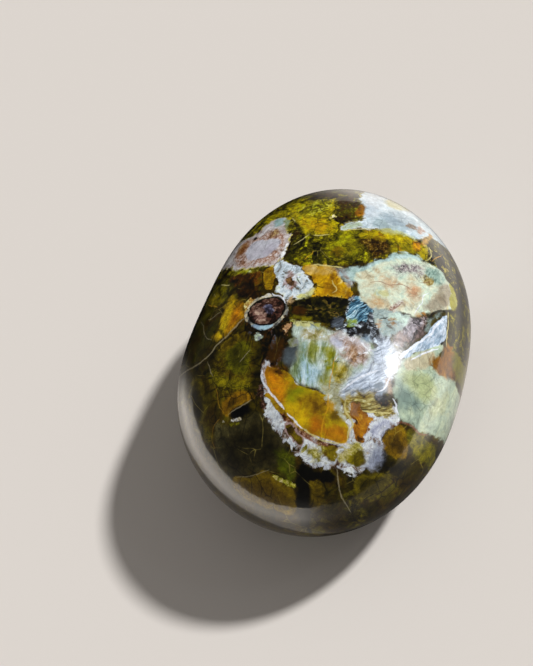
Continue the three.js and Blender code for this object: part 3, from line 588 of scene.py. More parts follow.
         (-14.9, -9.5), (-14, -9), (-13.1, -9.8), (-12.7, -11), (-12.6, -12), (-12.9, -13), (-13.1, -14),
         (-14.2, -14.6), (-15, -14.9), (-15.6, -14), (-15.9, -12.8), (-15.8, -11.6)]),
    Zone("strands_dark", "shard", 0.4, [BLACK, BLACK, 0x2A1C10, 0x5A4224], [(-14.3, -12.8), (-13.4, -12.2),
         (-12.5, -12), (-12.6, -13.4), (-13.2, -14), (-14, -14), (-14.2, -13.4)]),
    Zone("rust_cell", "mottle", 0.1, [0x4A3010, 0x7A5018, 0x9A6820, 0xAE7C2C, 0xB89450], [(-19.6, -10.4),
         (-18.4, -10), (-17.4, -9.7), (-16.6, -9.4), (-15.8, -9.1), (-15, -9.1), (-14.8, -9.8),
         (-15.4, -10.6), (-15.9, -11.4), (-16.1, -12.6), (-17.2, -12.1), (-18, -11.8), (-18.6, -11.4),
         (-19.4, -11.3)]),
    Zone("rust_pink", "mottle", 0.5, [0x7A5A44, 0x9A7C62], [(-16.2, -9.3), (-15, -9.2), (-14.8, -9.9),
         (-15.6, -10.2), (-16.4, -9.9)], fray=1.6),
    # Below the middle: the veil of white streaks, the wedge and the pale green; the first two hold painted
    # highlight.
    Zone("sage_pool", "smooth", 0.3, [0x82928A, 0x98A698, 0xAAB8A6, 0xB8C2AA, 0xC8CAAC], [(-14.8, -15.5),
         (-13.6, -14.9), (-12.8, -14.3), (-12, -13.9), (-10.5, -13.9), (-9, -14.2), (-7.6, -14.6),
         (-6.5, -15), (-5, -16.3), (-3.8, -17.4), (-2.5, -18.6), (-1.6, -19.6), (-3, -19.7), (-4.8, -19.2),
         (-5.6, -19.4), (-5.8, -20.2), (-6, -21.6), (-7, -23), (-10, -22.6), (-12.5, -21.4), (-14, -20.2),
         (-15.2, -18.6), (-15.4, -17), (-15.2, -16)]),
    Zone("sage_grey", "smooth", 0.9, [0x70827A, 0x82928A, 0x8C9C8E], [(-13.6, -15), (-12, -14.6),
         (-10.6, -14.6), (-10.4, -15.8), (-11, -16.8), (-11.2, -17.8), (-12.4, -18), (-13.4, -17.2)]),
    Zone("sage_lit", "smooth", 0.9, [0x8E9A78, 0xA0AA86, 0xAEB692, 0xBAC0A4], [(-10.4, -16), (-9.4, -15.2),
         (-8.2, -15.6), (-7.6, -17.2), (-7.6, -19), (-9, -19.8), (-10.8, -19), (-11.6, -18), (-10.8, -17)]),
    Zone("sage_tan", "smooth", 0.4, [0xA49C84, 0xB4AE96, 0xC0BCA8], [(-8.4, -15.3), (-7.4, -15),
         (-6.2, -15.8), (-4.8, -17.2), (-3.4, -18.6), (-4.2, -19.2), (-5.6, -18.6), (-6.8, -18.2),
         (-7.6, -17)]),
    Zone("sage_straw", "wedge", 0.6, [0x8E9474, 0xA8AE8C, 0xC0C4A8], [(-12.8, -18.8), (-11.6, -18.9),
         (-9.6, -20), (-7.6, -20.6), (-8, -21.1), (-10, -20.8), (-12, -19.9)], cover=0.7),
    Zone("grit_patch", "shard", 0.4, [BLACK, 0x3C3030, 0x6E5C58, 0x948886, 0xB0ACB0], [(-5.2, -13.2),
         (-3.6, -13.2), (-3, -14.4), (-2, -15.1), (-0.5, -15.3), (0.4, -16), (1.6, -17.1), (0.5, -17.3),
         (-1.5, -17.1), (-3, -16.4), (-4.3, -15.3), (-5.1, -14.4)]),
    Zone("grit_brown", "mottle", 0.4, [0x2E1E1A, 0x5E4640, 0x7E6860, 0xA09088], [(-5, -13.4), (-4, -13.2),
         (-3.2, -14), (-3.2, -15), (-4, -15.2), (-4.8, -14.4)], fray=1.8),
    Zone("grit_black", "shard", 0.5, [BLACK, 0x3A3638, 0x7A747A, 0xA09AA0, 0xB4B0B4], [(-3.4, -15),
         (-2.4, -14.9), (-1.4, -15.3), (-0.4, -15.3), (0.2, -15.9), (-0.2, -16.6), (-1.2, -16.2),
         (-2.4, -15.8), (-3.2, -15.6)], fray=1.8),
    Zone("grey_wedge", "wedge", 0.3, [0x4A524E, 0x74807C, 0x98A4A0], [(-1.4, -17.2), (0.5, -17), (1.9, -17.6),
         (3.1, -18.7), (2.2, -18.7), (0.8, -18), (-0.5, -17.6)]),
    # The wedge is partly blue-white streaks in the stone and partly the hot spot's streak of light, painted
    # highlight.
    Zone("wedge", "wedge", 0.08, [0x74889A, 0x94A6B6, 0xAEBCCA, 0xC6D0DC, 0xDCE4EC], [(-6.6, -14.3),
         (-5, -15.3), (-3, -16.6), (-1.8, -17.6), (0.5, -18), (1.5, -18.4), (2.8, -19.2), (3.2, -19.6),
         (1, -19.85), (-0.8, -19.95), (-1.8, -19.5), (-2.8, -18.8), (-4, -17.6), (-5.2, -16.4), (-6.5, -15.2),
         (-7.2, -14.6)], fray=0.1),
    # The veil is partly a milky veil in the stone and partly the hot spot's glow and streaks, painted
    # highlight.
    Zone("veil", "veil", 0.8, [0x6A7886, 0x949EAC, 0xB0BAC8, 0xC8D2DE, 0xE0EAF2], [(-14.8, -7.6),
         (-12.8, -7.8), (-11, -8.9), (-10, -9.6), (-9, -10.6), (-7, -11.2), (-5.6, -11.2), (-4.9, -12.4),
         (-5.1, -13.4), (-6.3, -14.2), (-8, -14.6), (-10, -13.9), (-12, -13.8), (-12.6, -12.4), (-12.8, -11),
         (-13.4, -9.2)], fray=1.4),
    Zone("veil_tan", "mottle", 0.35, [0xA08878, 0xB4A08C], [(-13, -14.2), (-11.8, -13.4), (-10.6, -13.4),
         (-10.4, -14), (-12, -14.4)]),
    Zone("veil_slate", "cloud", 0.25, [0x76828E, 0x9AA4B0], [(-12.7, -12.8), (-12.4, -11.8), (-11.6, -11.8),
         (-11.2, -12.6), (-11.8, -13)]),
    Zone("foot_amber", "smooth", 0.5, [0x442804, 0x6E4604, 0x8E620A, 0x847010], [(-6.8, -19.4), (-6, -18.4),
         (-4.8, -18.4), (-3.8, -19.3), (-2, -19.9), (0.4, -20), (1, -20.6), (-1, -21.2), (-3, -21.6),
         (-5.2, -21.4), (-6.2, -20.4)]),
    Zone("foot_moss", "smooth", 0.4, [0x4E4A0A, 0x6A660E, 0x807A1C], [(-4.6, -21), (-2, -20.9), (0.5, -20.6),
         (2.6, -20.4), (3, -21), (1, -22), (-2, -22.6), (-5, -22.4)]),
    Zone("foot_olive", "flake", 0.2, [BLACK, BOTTLE, DEEP_OLIVE, OLIVE, MOSS, 0xA09A50], [(-1.6, -20.1),
         (0.4, -19.95), (2.4, -19.8), (4, -19.6), (4.4, -20.2), (5, -20.7), (8.6, -20.6), (9, -24),
         (-2, -25)]),
    Zone("foot_black", "cloud", 0.15, [BLACK, GLASS], [(4.4, -20.4), (5.6, -20.6), (7.4, -20.6), (8.4, -20.2),
         (8.8, -20.6), (7.4, -21.1), (5.2, -21.1)]),
    # The blue-white end.
    Zone("ice", "smooth", 0.3, [0x8E9EA6, 0xACBCC4, 0xC2CED4, 0xD2D9DD, 0xDADEE0], [(13.9, -2.3),
         (14.8, -2.4), (15.8, -2.6), (16.4, -3.3), (16.5, -4.3), (17.2, -5), (18, -4.9), (19.5, -4.7),
         (21, -4.4), (22.3, -3.7), (23.5, -3), (25, -2.6), (26.6, -2.6), (29, -2), (34, -1), (44, -8),
         (34, -26), (22, -26), (18.2, -17.4), (18, -15.4), (16.8, -14.5), (15.6, -13.9), (15.2, -12.8),
         (15.6, -11), (15.5, -9), (15.3, -7), (14.9, -5.8), (14.4, -4.2)], line=(0.2, 0x7E7448, BROKEN)),
    Zone("ice_lit", "smooth", 0.9, [0xB4BEC6, 0xC4CCD2, 0xD0D6DA], [(18, -5.3), (20.4, -5), (23, -3.8),
         (26, -3.2), (31, -2.8), (32, -6), (27, -6.2), (23, -6.8), (20.4, -7.2), (18.4, -6.6)]),
    Zone("ice_shade", "smooth", 1.0, [0x8A989E, 0x9EACB4, 0xB0BCC4], [(17.8, -7.4), (20.4, -7.8), (22, -9.4),
         (21.6, -11.6), (19.8, -13.2), (17.6, -13), (16.6, -10.4)]),
    Zone("ice_sage", "mottle", 0.25, [0x6E7E68, 0x9CA890, 0xB2BEAC, 0xC0CCC0], [(14.2, -2.6), (15.6, -2.8),
         (16.2, -3.6), (16.4, -4.8), (15.8, -5.4), (15, -5), (14.6, -4)]),
    Zone("ice_grey", "cloud", 0.35, [0x9CAAAC, 0xB0C0C8], [(15.4, -7.2), (17, -6.6), (18.2, -7), (18.4, -8.2),
         (17, -9.4), (17.4, -11), (16.4, -12.6), (15.6, -11)]),
    Zone("ice_straw", "cloud", 0.45, [0xA8A878, PALE_SAGE], [(15.2, -7.4), (15.9, -8.6), (16.2, -10.6),
         (16, -12.6), (15.3, -13.6), (15.1, -11), (15, -9)]),
    Zone("ice_bone", "mottle", 0.6, [0xA8A480, 0xB8B494, 0xC4C4B0], [(22.2, -9.6), (22.8, -7.6), (24, -6.8),
         (26.5, -6.6), (28, -7), (27, -10), (24, -10.6)]),
    Zone("ice_spot", "grit", 0.25, [0x3E342C, 0x746658, 0xA49C94], [(17.8, -12.4), (18.2, -11.5),
         (18.9, -11.6), (19.6, -12.5), (18.8, -12.9)]),
    Zone("ice_pink", "grit", 0.3, [0x7E685C, 0xA89488, 0xC0B4B0], [(17.2, -13.4), (18.6, -13), (20, -12.9),
         (19.2, -13.9), (17.6, -14)]),
    Zone("ice_rust", "mottle", 0.3, [PEAT, 0x7E5414, 0xA07228, 0xB89050], [(17, -4.6), (18.4, -3.6),
         (20, -3.6), (21.6, -3.8), (20.8, -4.5), (19, -4.8)]),
    Zone("ice_amber", "mottle", 0.3, [0x94702C, 0xB4945A, 0xC0AC84], [(14.9, -14.3), (16.2, -14.2),
         (17.6, -14.4), (18.8, -14.6), (18.4, -15.4), (16.6, -15.2), (15.2, -14.8)]),
    Zone("ice_chip", "grit", 0.1, [MOSS, STRAW, CREAM], [(16.6, 0), (17.2, 0.1), (18.1, -0.3), (17.8, -0.8),
         (17, -0.8)]),
    # Small black marks.
    Zone("black_streak", "cloud", 0.2, [BLACK], [(5.3, 17.2), (6.2, 17.1), (7.1, 16.4), (7.8, 15.4),
         (7.3, 15.1), (6.2, 16), (5.4, 16.6)], fray=0.15),
    Zone("black_dot", "cloud", 0.12, [BLACK], [(14.6, 12.3), (15.2, 12.3), (15.8, 11.8), (15.4, 11.6),
         (14.8, 11.9)], fray=0.15),
    Zone("black_crumb", "cloud", 0.12, [0x1A1810], [(13, 12), (13.6, 12.3), (13.7, 11.9), (13.2, 11.7)],
         fray=0.15),
    Zone("black_speck", "cloud", 0.1, [BLACK], [(7.9, 6.3), (8.5, 6.3), (8.6, 6), (8, 6)], fray=0.15),
]

# Each group of veins has a colour, a strength and its lines, of which only the nearest shows at any place.
# The first number of a line is its half width in millimetres.
VEINS = {
    "vein_pale": (0xA09880, 0.6, [
        (0.13, (-9, 21.5), (-9.9, 20.3), (-10.2, 18), (-10.1, 16), (-9.7, 15), (-9.3, 14.3), (-8.6, 13.4),
         (-7.8, 13), (-7, 12.1), (-6.3, 11.3), (-5.4, 10.7), (-4.6, 10), (-3.9, 9.5), (-3.4, 8.9)),
        (0.07, (-12.6, 12.2), (-11.6, 12.9), (-10.6, 13.4), (-9.9, 13.9)),
        (0.06, (-10.8, 8.2), (-10.1, 7.6), (-9.3, 7.1), (-8.6, 6.6)),
        (0.06, (-6.4, 13.9), (-6.1, 14.8), (-5.2, 15.7), (-4, 16.4), (-2.6, 17.1), (-1.6, 18.2)),
        (0.06, (-2.2, 16.2), (-2.3, 15.4), (-1.7, 14.5), (-1.4, 13.6)),
        (0.08, (-27.3, -9.9), (-26.7, -9.1), (-25.9, -8.6), (-25, -8.4), (-24.2, -8.25), (-23.4, -8.1)),
        (0.07, (-18.2, 8.5), (-17.6, 7.7), (-17.1, 6.7), (-16.6, 5.8), (-16.1, 5)),
        (0.06, (-25.75, 6.6), (-25.7, 4.8), (-25.5, 3.2), (-25.1, 2), (-24.8, 1.2)),
    ]),
    "vein_straw": (0xC8C08C, 0.75, [
        (0.12, (6.25, 0.6), (6.35, -0.5), (6.3, -2), (6.25, -3.3), (6.05, -4.4)),
        (0.12, (14, -2.6), (14.3, -3.8), (14.6, -4.8), (14.9, -5.8), (15.1, -7)),
        (0.12, (12.6, 1.8), (12.45, 0.8), (12.7, -0.2), (12.9, -0.9)),
        (0.07, (10.3, 4.4), (11.2, 3.6), (12, 2.9), (13, 2.2)),
        (0.08, (17.2, 6.6), (16.3, 5.9), (15.5, 5.4)),
        (0.1, (3.8, 13.7), (4, 14.5), (4.4, 15.2), (4.8, 16.1)),
        (0.05, (2.4, 16.3), (3, 16.7), (3.6, 17.1)),
        (0.09, (11.1, -15.3), (11.9, -15.8), (12.6, -16), (13.4, -15.9), (14.3, -15.6), (15, -15.2)),
        (0.09, (1.2, -3.7), (1.8, -4.15), (2.4, -4), (3, -3.5), (3.7, -3.2)),
        (0.09, (-2, -19.97), (0, -19.9), (2, -19.8), (3.6, -19.6), (5, -19.4)),
        (0.1, (-19.3, -2.9), (-20, -4.2), (-20.5, -5.8), (-20.6, -7.4), (-20.4, -8.4)),
        (0.11, (-20, -9.2), (-18.8, -9.2), (-18, -9.7), (-17.5, -9.6), (-16.9, -9.1), (-16.2, -8.5),
         (-15.3, -8.3), (-14.5, -8.6)),
        (0.12, (-15.7, -10.6), (-15.5, -12), (-15.3, -13.2), (-14.8, -14.4)),
    ]),
    "vein_tan": (0xC49C54, 0.6, [
        (0.035, (-17.8, 9.4), (-16.6, 10.4), (-15.2, 10.8), (-14, 11.6)),
        (0.03, (-22.2, 10.4), (-21, 11), (-19.6, 10.8), (-18.6, 9.8)),
        (0.11, (-20.3, -5.7), (-19, -5.75), (-17.6, -5.8), (-16.4, -6.15), (-15.3, -6), (-14.2, -5.9)),
        (0.08, (-13.8, -5.95), (-12.5, -5.85), (-11, -6), (-9.8, -5.95), (-8.6, -6.2)),
        (0.07, (7.2, 2), (8, 1.4), (8.8, 0.9), (9.3, 0.9)),
        (0.06, (11.6, -16.2), (12.6, -16.5), (13.4, -16.8), (14.2, -17.1), (15, -17.2)),
        (0.07, (-0.2, 14.8), (0.4, 16), (1, 17), (1.9, 17.9)),
    ]),
    "vein_white_and_painted_highlight": (0xDCE0E8, 0.85, [
        (0.15, (-11.8, 4.1), (-12.5, 4.1), (-13.5, 3.75), (-14.5, 2.95), (-15.5, 1.9), (-16.4, 0.85),
         (-17.3, -0.2)),
        (0.12, (-17.6, -0.5), (-18.2, -1.2), (-18.9, -2.2), (-19.5, -3.2)),
        # The lines that run out from the hot spot, about (-7, -14), are pale fractures with the hot spot's
        # streaks painted in as highlight.
        (0.16, (-6.8, -14.6), (-5, -15.6), (-3.4, -16.6), (-2.2, -17.4), (-1.3, -17.9), (-0.2, -18.2),
         (1.2, -18.7), (2.4, -19.2)),
        (0.05, (0.6, -15.4), (2.2, -15.8), (3.3, -16.2), (4.4, -16.1), (5.4, -16.9)),
        (0.1, (-6.6, -15.9), (-5.2, -17), (-3.6, -18.4), (-2.8, -19.2)),
        (0.12, (-13.6, -7.6), (-12.6, -8.5), (-11.6, -9.4), (-10.6, -10.7), (-9.6, -12)),
        (0.1, (-12.6, -12.2), (-12.1, -13), (-11.2, -13.4), (-10, -13.5)),
        (0.12, (-14.8, -15.3), (-14.2, -15), (-13.4, -14.8), (-12.8, -14.3)),
        (0.1, (-1, 2.9), (-0.3, 3.4), (0.4, 4.2), (0.5, 5), (1, 5.6)),
    ]),
    "vein_dark_and_painted_shade": (0x16120C, 0.8, [
        (0.09, (-10.5, 16.6), (-10.4, 15.2), (-9.9, 14.5)),
        # Painted shade: the next line is the shadow beside the pale crack that runs down from (-9, 21.5).
        (0.09, (-7.5, 12.3), (-6.6, 11.1), (-5.6, 10.3), (-4.6, 9.6), (-4, 9.1)),
        (0.08, (2.3, 1.1), (2.9, 1.6), (3.5, 2.1), (4.2, 2.4)),
        (0.09, (2.7, -0.8), (2.35, -1.4), (2.2, -2), (2.3, -2.5)),
        # Painted shade: the next two lines are shadow along the cream patch's edge.
        (0.12, (0.15, -13.8), (0.3, -14.7), (0.4, -15.2)),
        (0.18, (1.2, -17.4), (2, -17.7), (2.8, -18.3), (3.5, -19), (4.1, -19.7), (4.6, -20.4)),
        (0.12, (-5.4, -10.5), (-4.8, -10.7), (-4.2, -11.1), (-3.8, -11.2)),
        (0.22, (8.2, -8.5), (8.8, -9), (9.2, -9.6)),
        (0.12, (2.9, -6.75), (3.4, -6.5), (3.9, -6.2)),
        (0.14, (12.9, -1.5), (13.4, -1.9), (14.1, -2), (14.9, -1.7), (15.8, -2.1), (16.6, -2.7)),
        (0.1, (16, -5.3), (16.6, -5.1)),
        (0.1, (14.8, 4.9), (15.6, 5.5), (16.5, 6.2)),
        (0.12, (17.6, 8.3), (17.9, 7.4), (17.7, 6.4)),
        (0.1, (11.5, -15.7), (12.5, -16.25), (13.6, -16.2), (15.1, -15.6)),
        (0.12, (-9.9, -6.3), (-9.4, -6.6)),
        (0.12, (-1.9, -10.9), (-1.5, -11.5), (-1.1, -12.2)),
        (0.08, (7, -12.6), (7.5, -12.4), (7.9, -12.5)),
        (0.1, (-20.6, -7.3), (-20.3, -7.3)),
    ]),
    "vein_red": (0x82584A, 0.6, [
        (0.14, (-15.9, -15), (-15.4, -15.9), (-15.3, -17), (-15.6, -18), (-15, -19)),
        (0.1, (-0.1, -11.8), (0.6, -12.7), (1.3, -13.3), (2, -13.6)),
        (0.08, (1, 2.3), (1.6, 2.6), (2.2, 2.8)),
        (0.08, (3.9, 3.7), (4.6, 3.5), (5.2, 3)),
        (0.1, (-20, -2.5), (-20.7, -4), (-21, -5.4), (-21.1, -7)),
        (0.08, (-16.8, -14.4), (-16, -15), (-15.2, -15.8)),
        (0.07, (4, -8.6), (4.6, -9.8), (4.4, -11.4), (5, -13), (4.6, -14.6)),
        (0.06, (6.4, -15.2), (7, -16.2), (7.8, -16.6)),
    ]),
}


# Shape.

def outline_radius(direction):
    """How far the widest level reaches in a direction, in millimetres."""
    a, b = LENGTH / 2, WIDTH / 2
    base = a * b / np.hypot(b * np.cos(direction), a * np.sin(direction))
    egg = EGG_SHARE * np.cos(EGG_LOBES * (direction - EGG_DIRECTION))
    shoulder = SHOULDER_SHARE * np.cos(SHOULDER_LOBES * (direction - SHOULDER_DIRECTION))
    return base * (1 + egg + shoulder)


def height_at(share):
    """The height of a place that is share of the way out, 0 to 1 on the crown and 1 to 2 on the underside."""
    inward = np.where(share > 1, 2 - share, share)
    rise = (1 - np.clip(inward, 0, 1) ** SECTION_SPREAD) ** (1 / SECTION_RISE)
    crown = BELLY_HEIGHT + CROWN_HEIGHT * rise
    belly = np.maximum(BELLY_HEIGHT - (BELLY_HEIGHT + FLAT_CUT) * rise, 0)
    return np.where(share > 1, belly, crown)


def lift(plan):
    """Places of the plan as points on the stone, in millimetres."""
    plan = np.asarray(plan, float)
    direction = np.arctan2(plan[:, 1], plan[:, 0])
    reach = outline_radius(direction)
    share = np.hypot(plan[:, 0], plan[:, 1]) / reach
    radius = np.where(share > 1, 2 - share, share) * reach
    return np.column_stack([radius * np.cos(direction), radius * np.sin(direction), height_at(share)])


def ring_shares():
    """The share of the way out of each ring, from the top to the resting spot's edge and in to its middle."""
    crown = np.cos(np.linspace(math.pi / 2, 0, CROWN_RINGS + 1)[1:]) ** (2 / SECTION_SPREAD)
    flat_slope = math.asin((BELLY_HEIGHT / (BELLY_HEIGHT + FLAT_CUT)) ** (SECTION_RISE / 2))
    belly = 2 - np.cos(np.linspace(0, flat_slope, BELLY_RINGS + 1)[1:]) ** (2 / SECTION_SPREAD)
    flat = np.linspace(belly[-1], 2, FLAT_RINGS + 1)[1:-1]
    return np.concatenate([crown, belly, flat])


def skin_plan():
    """The plan places of the skin's vertices: the top, the rings, and the middle of the resting spot."""
    around = np.arange(STEPS_AROUND) * (2 * math.pi / STEPS_AROUND)
    reach = outline_radius(around)
    share = ring_shares()[:, None]
    rings = np.stack([share * reach * np.cos(around), share * reach * np.sin(around)], -1).reshape(-1, 2)
    under = np.array([[2 * outline_radius(0.0), 0.0]])
    return np.concatenate([[[0.0, 0.0]], rings, under])


def skin_faces(rings):
    """Quads between neighbouring rings, and a fan of triangles at each end."""
    ring = np.arange(STEPS_AROUND)
    ahead = (ring + 1) % STEPS_AROUND
    faces = [(0, 1 + a, 1 + b) for a, b in zip(ring, ahead)]
    for k in range(rings - 1):
        upper, lower = 1 + k * STEPS_AROUND, 1 + (k + 1) * STEPS_AROUND
        faces += [(upper + a, lower + a, lower + b, upper + b) for a, b in zip(ring, ahead)]
    last, end = 1 + (rings - 1) * STEPS_AROUND, 1 + rings * STEPS_AROUND
    faces += [(end, last + b, last + a) for a, b in zip(ring, ahead)]
    return [tuple(int(v) for v in face) for face in faces]


# Distances.

def subdivide(corners):
    """A closed outline's corners with more between them, so that no stretch is long."""
    places = []
    for (x0, y0), (x1, y1) in zip(corners, corners[1:] + corners[:1]):
        count = max(1, math.ceil(math.hypot(x1 - x0, y1 - y0) / OUTLINE_STEP))
        places += [(x0 + (x1 - x0) * k / count, y0 + (y1 - y0) * k / count) for k in range(count)]
    return np.array(places + [corners[0]])


def rounded(corners):
    """A closed outline with its corners cut, so that it runs smoothly."""
    for _ in range(CORNER_CUTS):
        cut = []
        for (x0, y0), (x1, y1) in zip(corners, corners[1:] + corners[:1]):
            for share in (CORNER_CUT, 1 - CORNER_CUT):
                cut.append(((1 - share) * x0 + share * x1, (1 - share) * y0 + share * y1))
        corners = cut
    return corners


def curve_through(corners):
    """Places along a smooth curve through the corners."""
    p = np.array([corners[0], *corners, corners[-1]], float)
    places = []
    for a, b, c, d in zip(p, p[1:], p[2:], p[3:]):
        count = max(2, math.ceil(np.linalg.norm(c - b) / VEIN_STEP))
        t = (np.arange(count) / count)[:, None]
        bend = (2 * a - 5 * b + 4 * c - d) * t ** 2 + (3 * b - 3 * c + d - a) * t ** 3
        places.append(b + 0.5 * ((c - a) * t + bend))
    return np.concatenate(places + [p[-1:]])


def line_distance(points, line):
    """How far each point is from a line of points on the stone, and which stretch of it is nearest."""
    near = np.full(len(points), FAR)
    which = np.zeros(len(points), int)
    close = np.flatnonzero(((points > line.min(0) - FAR) & (points < line.max(0) + FAR)).all(1))
    close = close[np.argsort(points[close, 0])]
    x, y, z = np.ascontiguousarray(points[close].T)
    best, stretch = near[close] ** 2, which[close]
    for k, (a, b) in enumerate(zip(line, line[1:])):
        first, last = np.searchsorted(x, (min(a[0], b[0]) - FAR, max(a[0], b[0]) + FAR))
        part = slice(first, last)
        run = b - a
        off = x[part] - a[0], y[part] - a[1], z[part] - a[2]
        t = np.clip((off[0] * run[0] + off[1] * run[1] + off[2] * run[2]) / (run * run).sum(), 0, 1)
        d = sum((o - t * r) ** 2 for o, r in zip(off, run))
        better = d < best[part]
        best[part][better] = d[better]
        stretch[part][better] = k
    near[close] = np.sqrt(best)
    which[close] = stretch
    return near, which


def inside(plan, corners):
    """Which plan places are within a closed outline."""
    odd = np.zeros(len(plan), bool)
    bound = np.array(corners)
    close = np.flatnonzero(((plan > bound.min(0)) & (plan < bound.max(0))).all(1))
    x, y = plan[close, 0], plan[close, 1]
    within = odd[close]
    for (x0, y0), (x1, y1) in zip(corners, corners[1:] + corners[:1]):
        if y1 != y0:
            within ^= ((y0 > y) != (y1 > y)) & (x < x0 + (x1 - x0) * (y - y0) / (y1 - y0))
    odd[close] = within
    return odd


def zone_distance(plan, points, corners):
    """Millimetres from each vertex to a zone's edge, positive inside."""
    corners = rounded(corners)
    near, _ = line_distance(points, lift(subdivide(corners)))
    return np.where(inside(plan, corners), near, -near)


def vein_fields(plan, points, veins):
    """Millimetres from each vertex to the nearest vein with a sign for its side, and the vein's half width.

    The half width falls to nothing at a vein's ends and goes below nothing away from it.
    """
    nearest = np.full(len(plan), FAR)
    side = np.full(len(plan), FAR)
    width = np.full(len(plan), -FAR)
    for half_width, *corners in veins:
        places = curve_through(corners)
        near, which = line_distance(points, lift(places))
        start, run = places[which], places[which + 1] - places[which]
        length = np.linalg.norm(np.diff(places, axis=0), axis=1)
        travelled = np.concatenate([[0], np.cumsum(length)])
        offset = plan - start
        along = (offset * run).sum(1) / length[which] + travelled[which]
        to_end = np.minimum(along, travelled[-1] - along)
        taper = half_width * np.sqrt(np.clip(to_end / VEIN_TAPER, 0, 1))
        lost = LOST_BESIDE * np.maximum(near - VEIN_REACH, 0) + LOST_BEYOND * np.maximum(-to_end, 0)
        left = np.sign(run[:, 0] * offset[:, 1] - run[:, 1] * offset[:, 0])
        better = near < nearest
        nearest[better] = near[better]
        side[better] = (near * np.where(left == 0, 1, left))[better]
        width[better] = (taper - lost)[better]
    return side, width


# Nodes.

def linear(colour):
    """A colour as the eye sees it, as the light that the shader works in, by the curve of screens."""
    seen = [(colour >> shift & 255) / 255 for shift in (16, 8, 0)]
    light = [p / SRGB_SLOPE if p <= SRGB_KNEE else ((p + SRGB_OFFSET) / (1 + SRGB_OFFSET)) ** SRGB_POWER
             for p in seen]
    return (*light, 1.0)


class Graph:
    """Short ways to add shader nodes. A socket may be given a number, a colour or another node's output."""

    def __init__(self, tree):
        self.tree = tree
        self.tree.nodes.clear()

    def feed(self, socket, value):
        if isinstance(value, bpy.types.NodeSocket):
            self.tree.links.new(value, socket)
        else:
            socket.default_value = value

    def node(self, kind, given=(), **settings):
        """A node with these settings, and with values given to its sockets in order or by name."""
        made = self.tree.nodes.new(kind)
        for key, value in settings.items():
            setattr(made, key, value)
        for key, value in given.items() if isinstance(given, dict) else enumerate(given):
            self.feed(made.inputs[key], value)
        return made

    def math(self, operation, a, b=0.0, c=0.0):
        return self.node("ShaderNodeMath", (a, b, c), operation=operation).outputs[0]

    def step(self, value, low, high, lowest=0.0, highest=1.0):
        """Goes smoothly from lowest to highest as the value goes from low to high."""
        return self.node("ShaderNodeMapRange", (value, low, high, lowest, highest),
                         interpolation_type="SMOOTHSTEP", clamp=False).outputs[0]

    def contrast(self, value, gain):
        """The value spread out around a half, gain times as wide."""
        half = 0.5 / gain
        given = value, 0.5 - half, 0.5 + half, 0.0, 1.0
        return self.node("ShaderNodeMapRange", given, clamp=False).outputs[0]

    def blend(self, a, b, share):
        """Numbers a and b, with share of b."""
        return self.math("MULTIPLY_ADD", b, share, self.math("MULTIPLY", a, 1 - share))

    def mix(self, share, below, above, blend="MIX"):
        """Colours below and above, with share of the one above."""
        given = dict(zip(MIX_SOCKETS, (share, below, above)))
        return self.node("ShaderNodeMix", given, data_type="RGBA", blend_type=blend).outputs[MIX_RESULT]

    def ramp(self, share, colours):
        """The colour that share, from 0 to 1, picks on an even run of colours."""
        made = self.node("ShaderNodeValToRGB")
        stops = made.color_ramp.elements
        while len(stops) < len(colours):
            stops.new(0.5)
        for k, colour in enumerate(colours):
            stops[k].position = k / max(1, len(colours) - 1)
        for k, colour in enumerate(colours):
            stops[k].color = linear(colour)
        self.feed(made.inputs[0], share)
        return made.outputs[0]

    def attribute(self, name):
        """A number that the mesh keeps for each vertex."""
        return self.node("ShaderNodeAttribute", attribute_name=name).outputs["Fac"]

    def noise(self, where, size, detail=3.0, roughness=0.55, distortion=0.0):
        """Cloudy noise whose lumps are about size millimetres across, from 0 to 1 around a half."""
        given = {"Vector": where, "Scale": 1.0 / size, "Detail": detail, "Roughness": roughness,
                 "Distortion": distortion}
        return self.node("ShaderNodeTexNoise", given).outputs["Fac"]

    def cells(self, where, size, slope=0.0):
        """A level from 0 to 1 for each angular cell about size millimetres across.

        With a slope each cell also gets lighter or darker from its middle outwards, as chipped glass does.
        """
        made = self.node("ShaderNodeTexVoronoi", {"Vector": where, "Scale": 1.0 / size}, feature="F1")
        level = self.node("ShaderNodeSeparateColor", (made.outputs["Color"],))
        if not slope:
            return level.outputs[0]
        lean = self.math("MULTIPLY_ADD", level.outputs[1], 2.0 * slope, -slope)
        outward = self.math("SUBTRACT", made.outputs["Distance"], CELL_MIDDLE)
        return self.math("MULTIPLY_ADD", lean, outward, level.outputs[0])

    def cracks(self, where, size, width):
        """1 on the lines between cells about size millimetres across, and 0 width millimetres from them."""
        made = self.node("ShaderNodeTexVoronoi", {"Vector": where, "Scale": 1.0 / size},
                         feature="DISTANCE_TO_EDGE")
        return self.step(made.outputs["Distance"], 0.0, width / size, 1.0, 0.0)

    def grey(self, level):
        """A number as a grey."""
        return self.node("ShaderNodeCombineColor", (level, level, level)).outputs[0]

    def stretched(self, where, angle, long, short):
        """Coordinates in which a lump of size 1 is long millimetres along the angle and short across it."""
        given = {"Vector": where, "Rotation": (0.0, 0.0, math.radians(angle)), "Scale": (long, short, short)}
        return self.node("ShaderNodeMapping", given, vector_type="TEXTURE").outputs[0]


def dress(owner, surface, output="ShaderNodeOutputMaterial"):
    """Gives a material or a world the shader that surface makes in its graph."""
    owner.use_nodes = True
    g = Graph(owner.node_tree)
    g.node(output, {"Surface": surface(g)})
    return owner


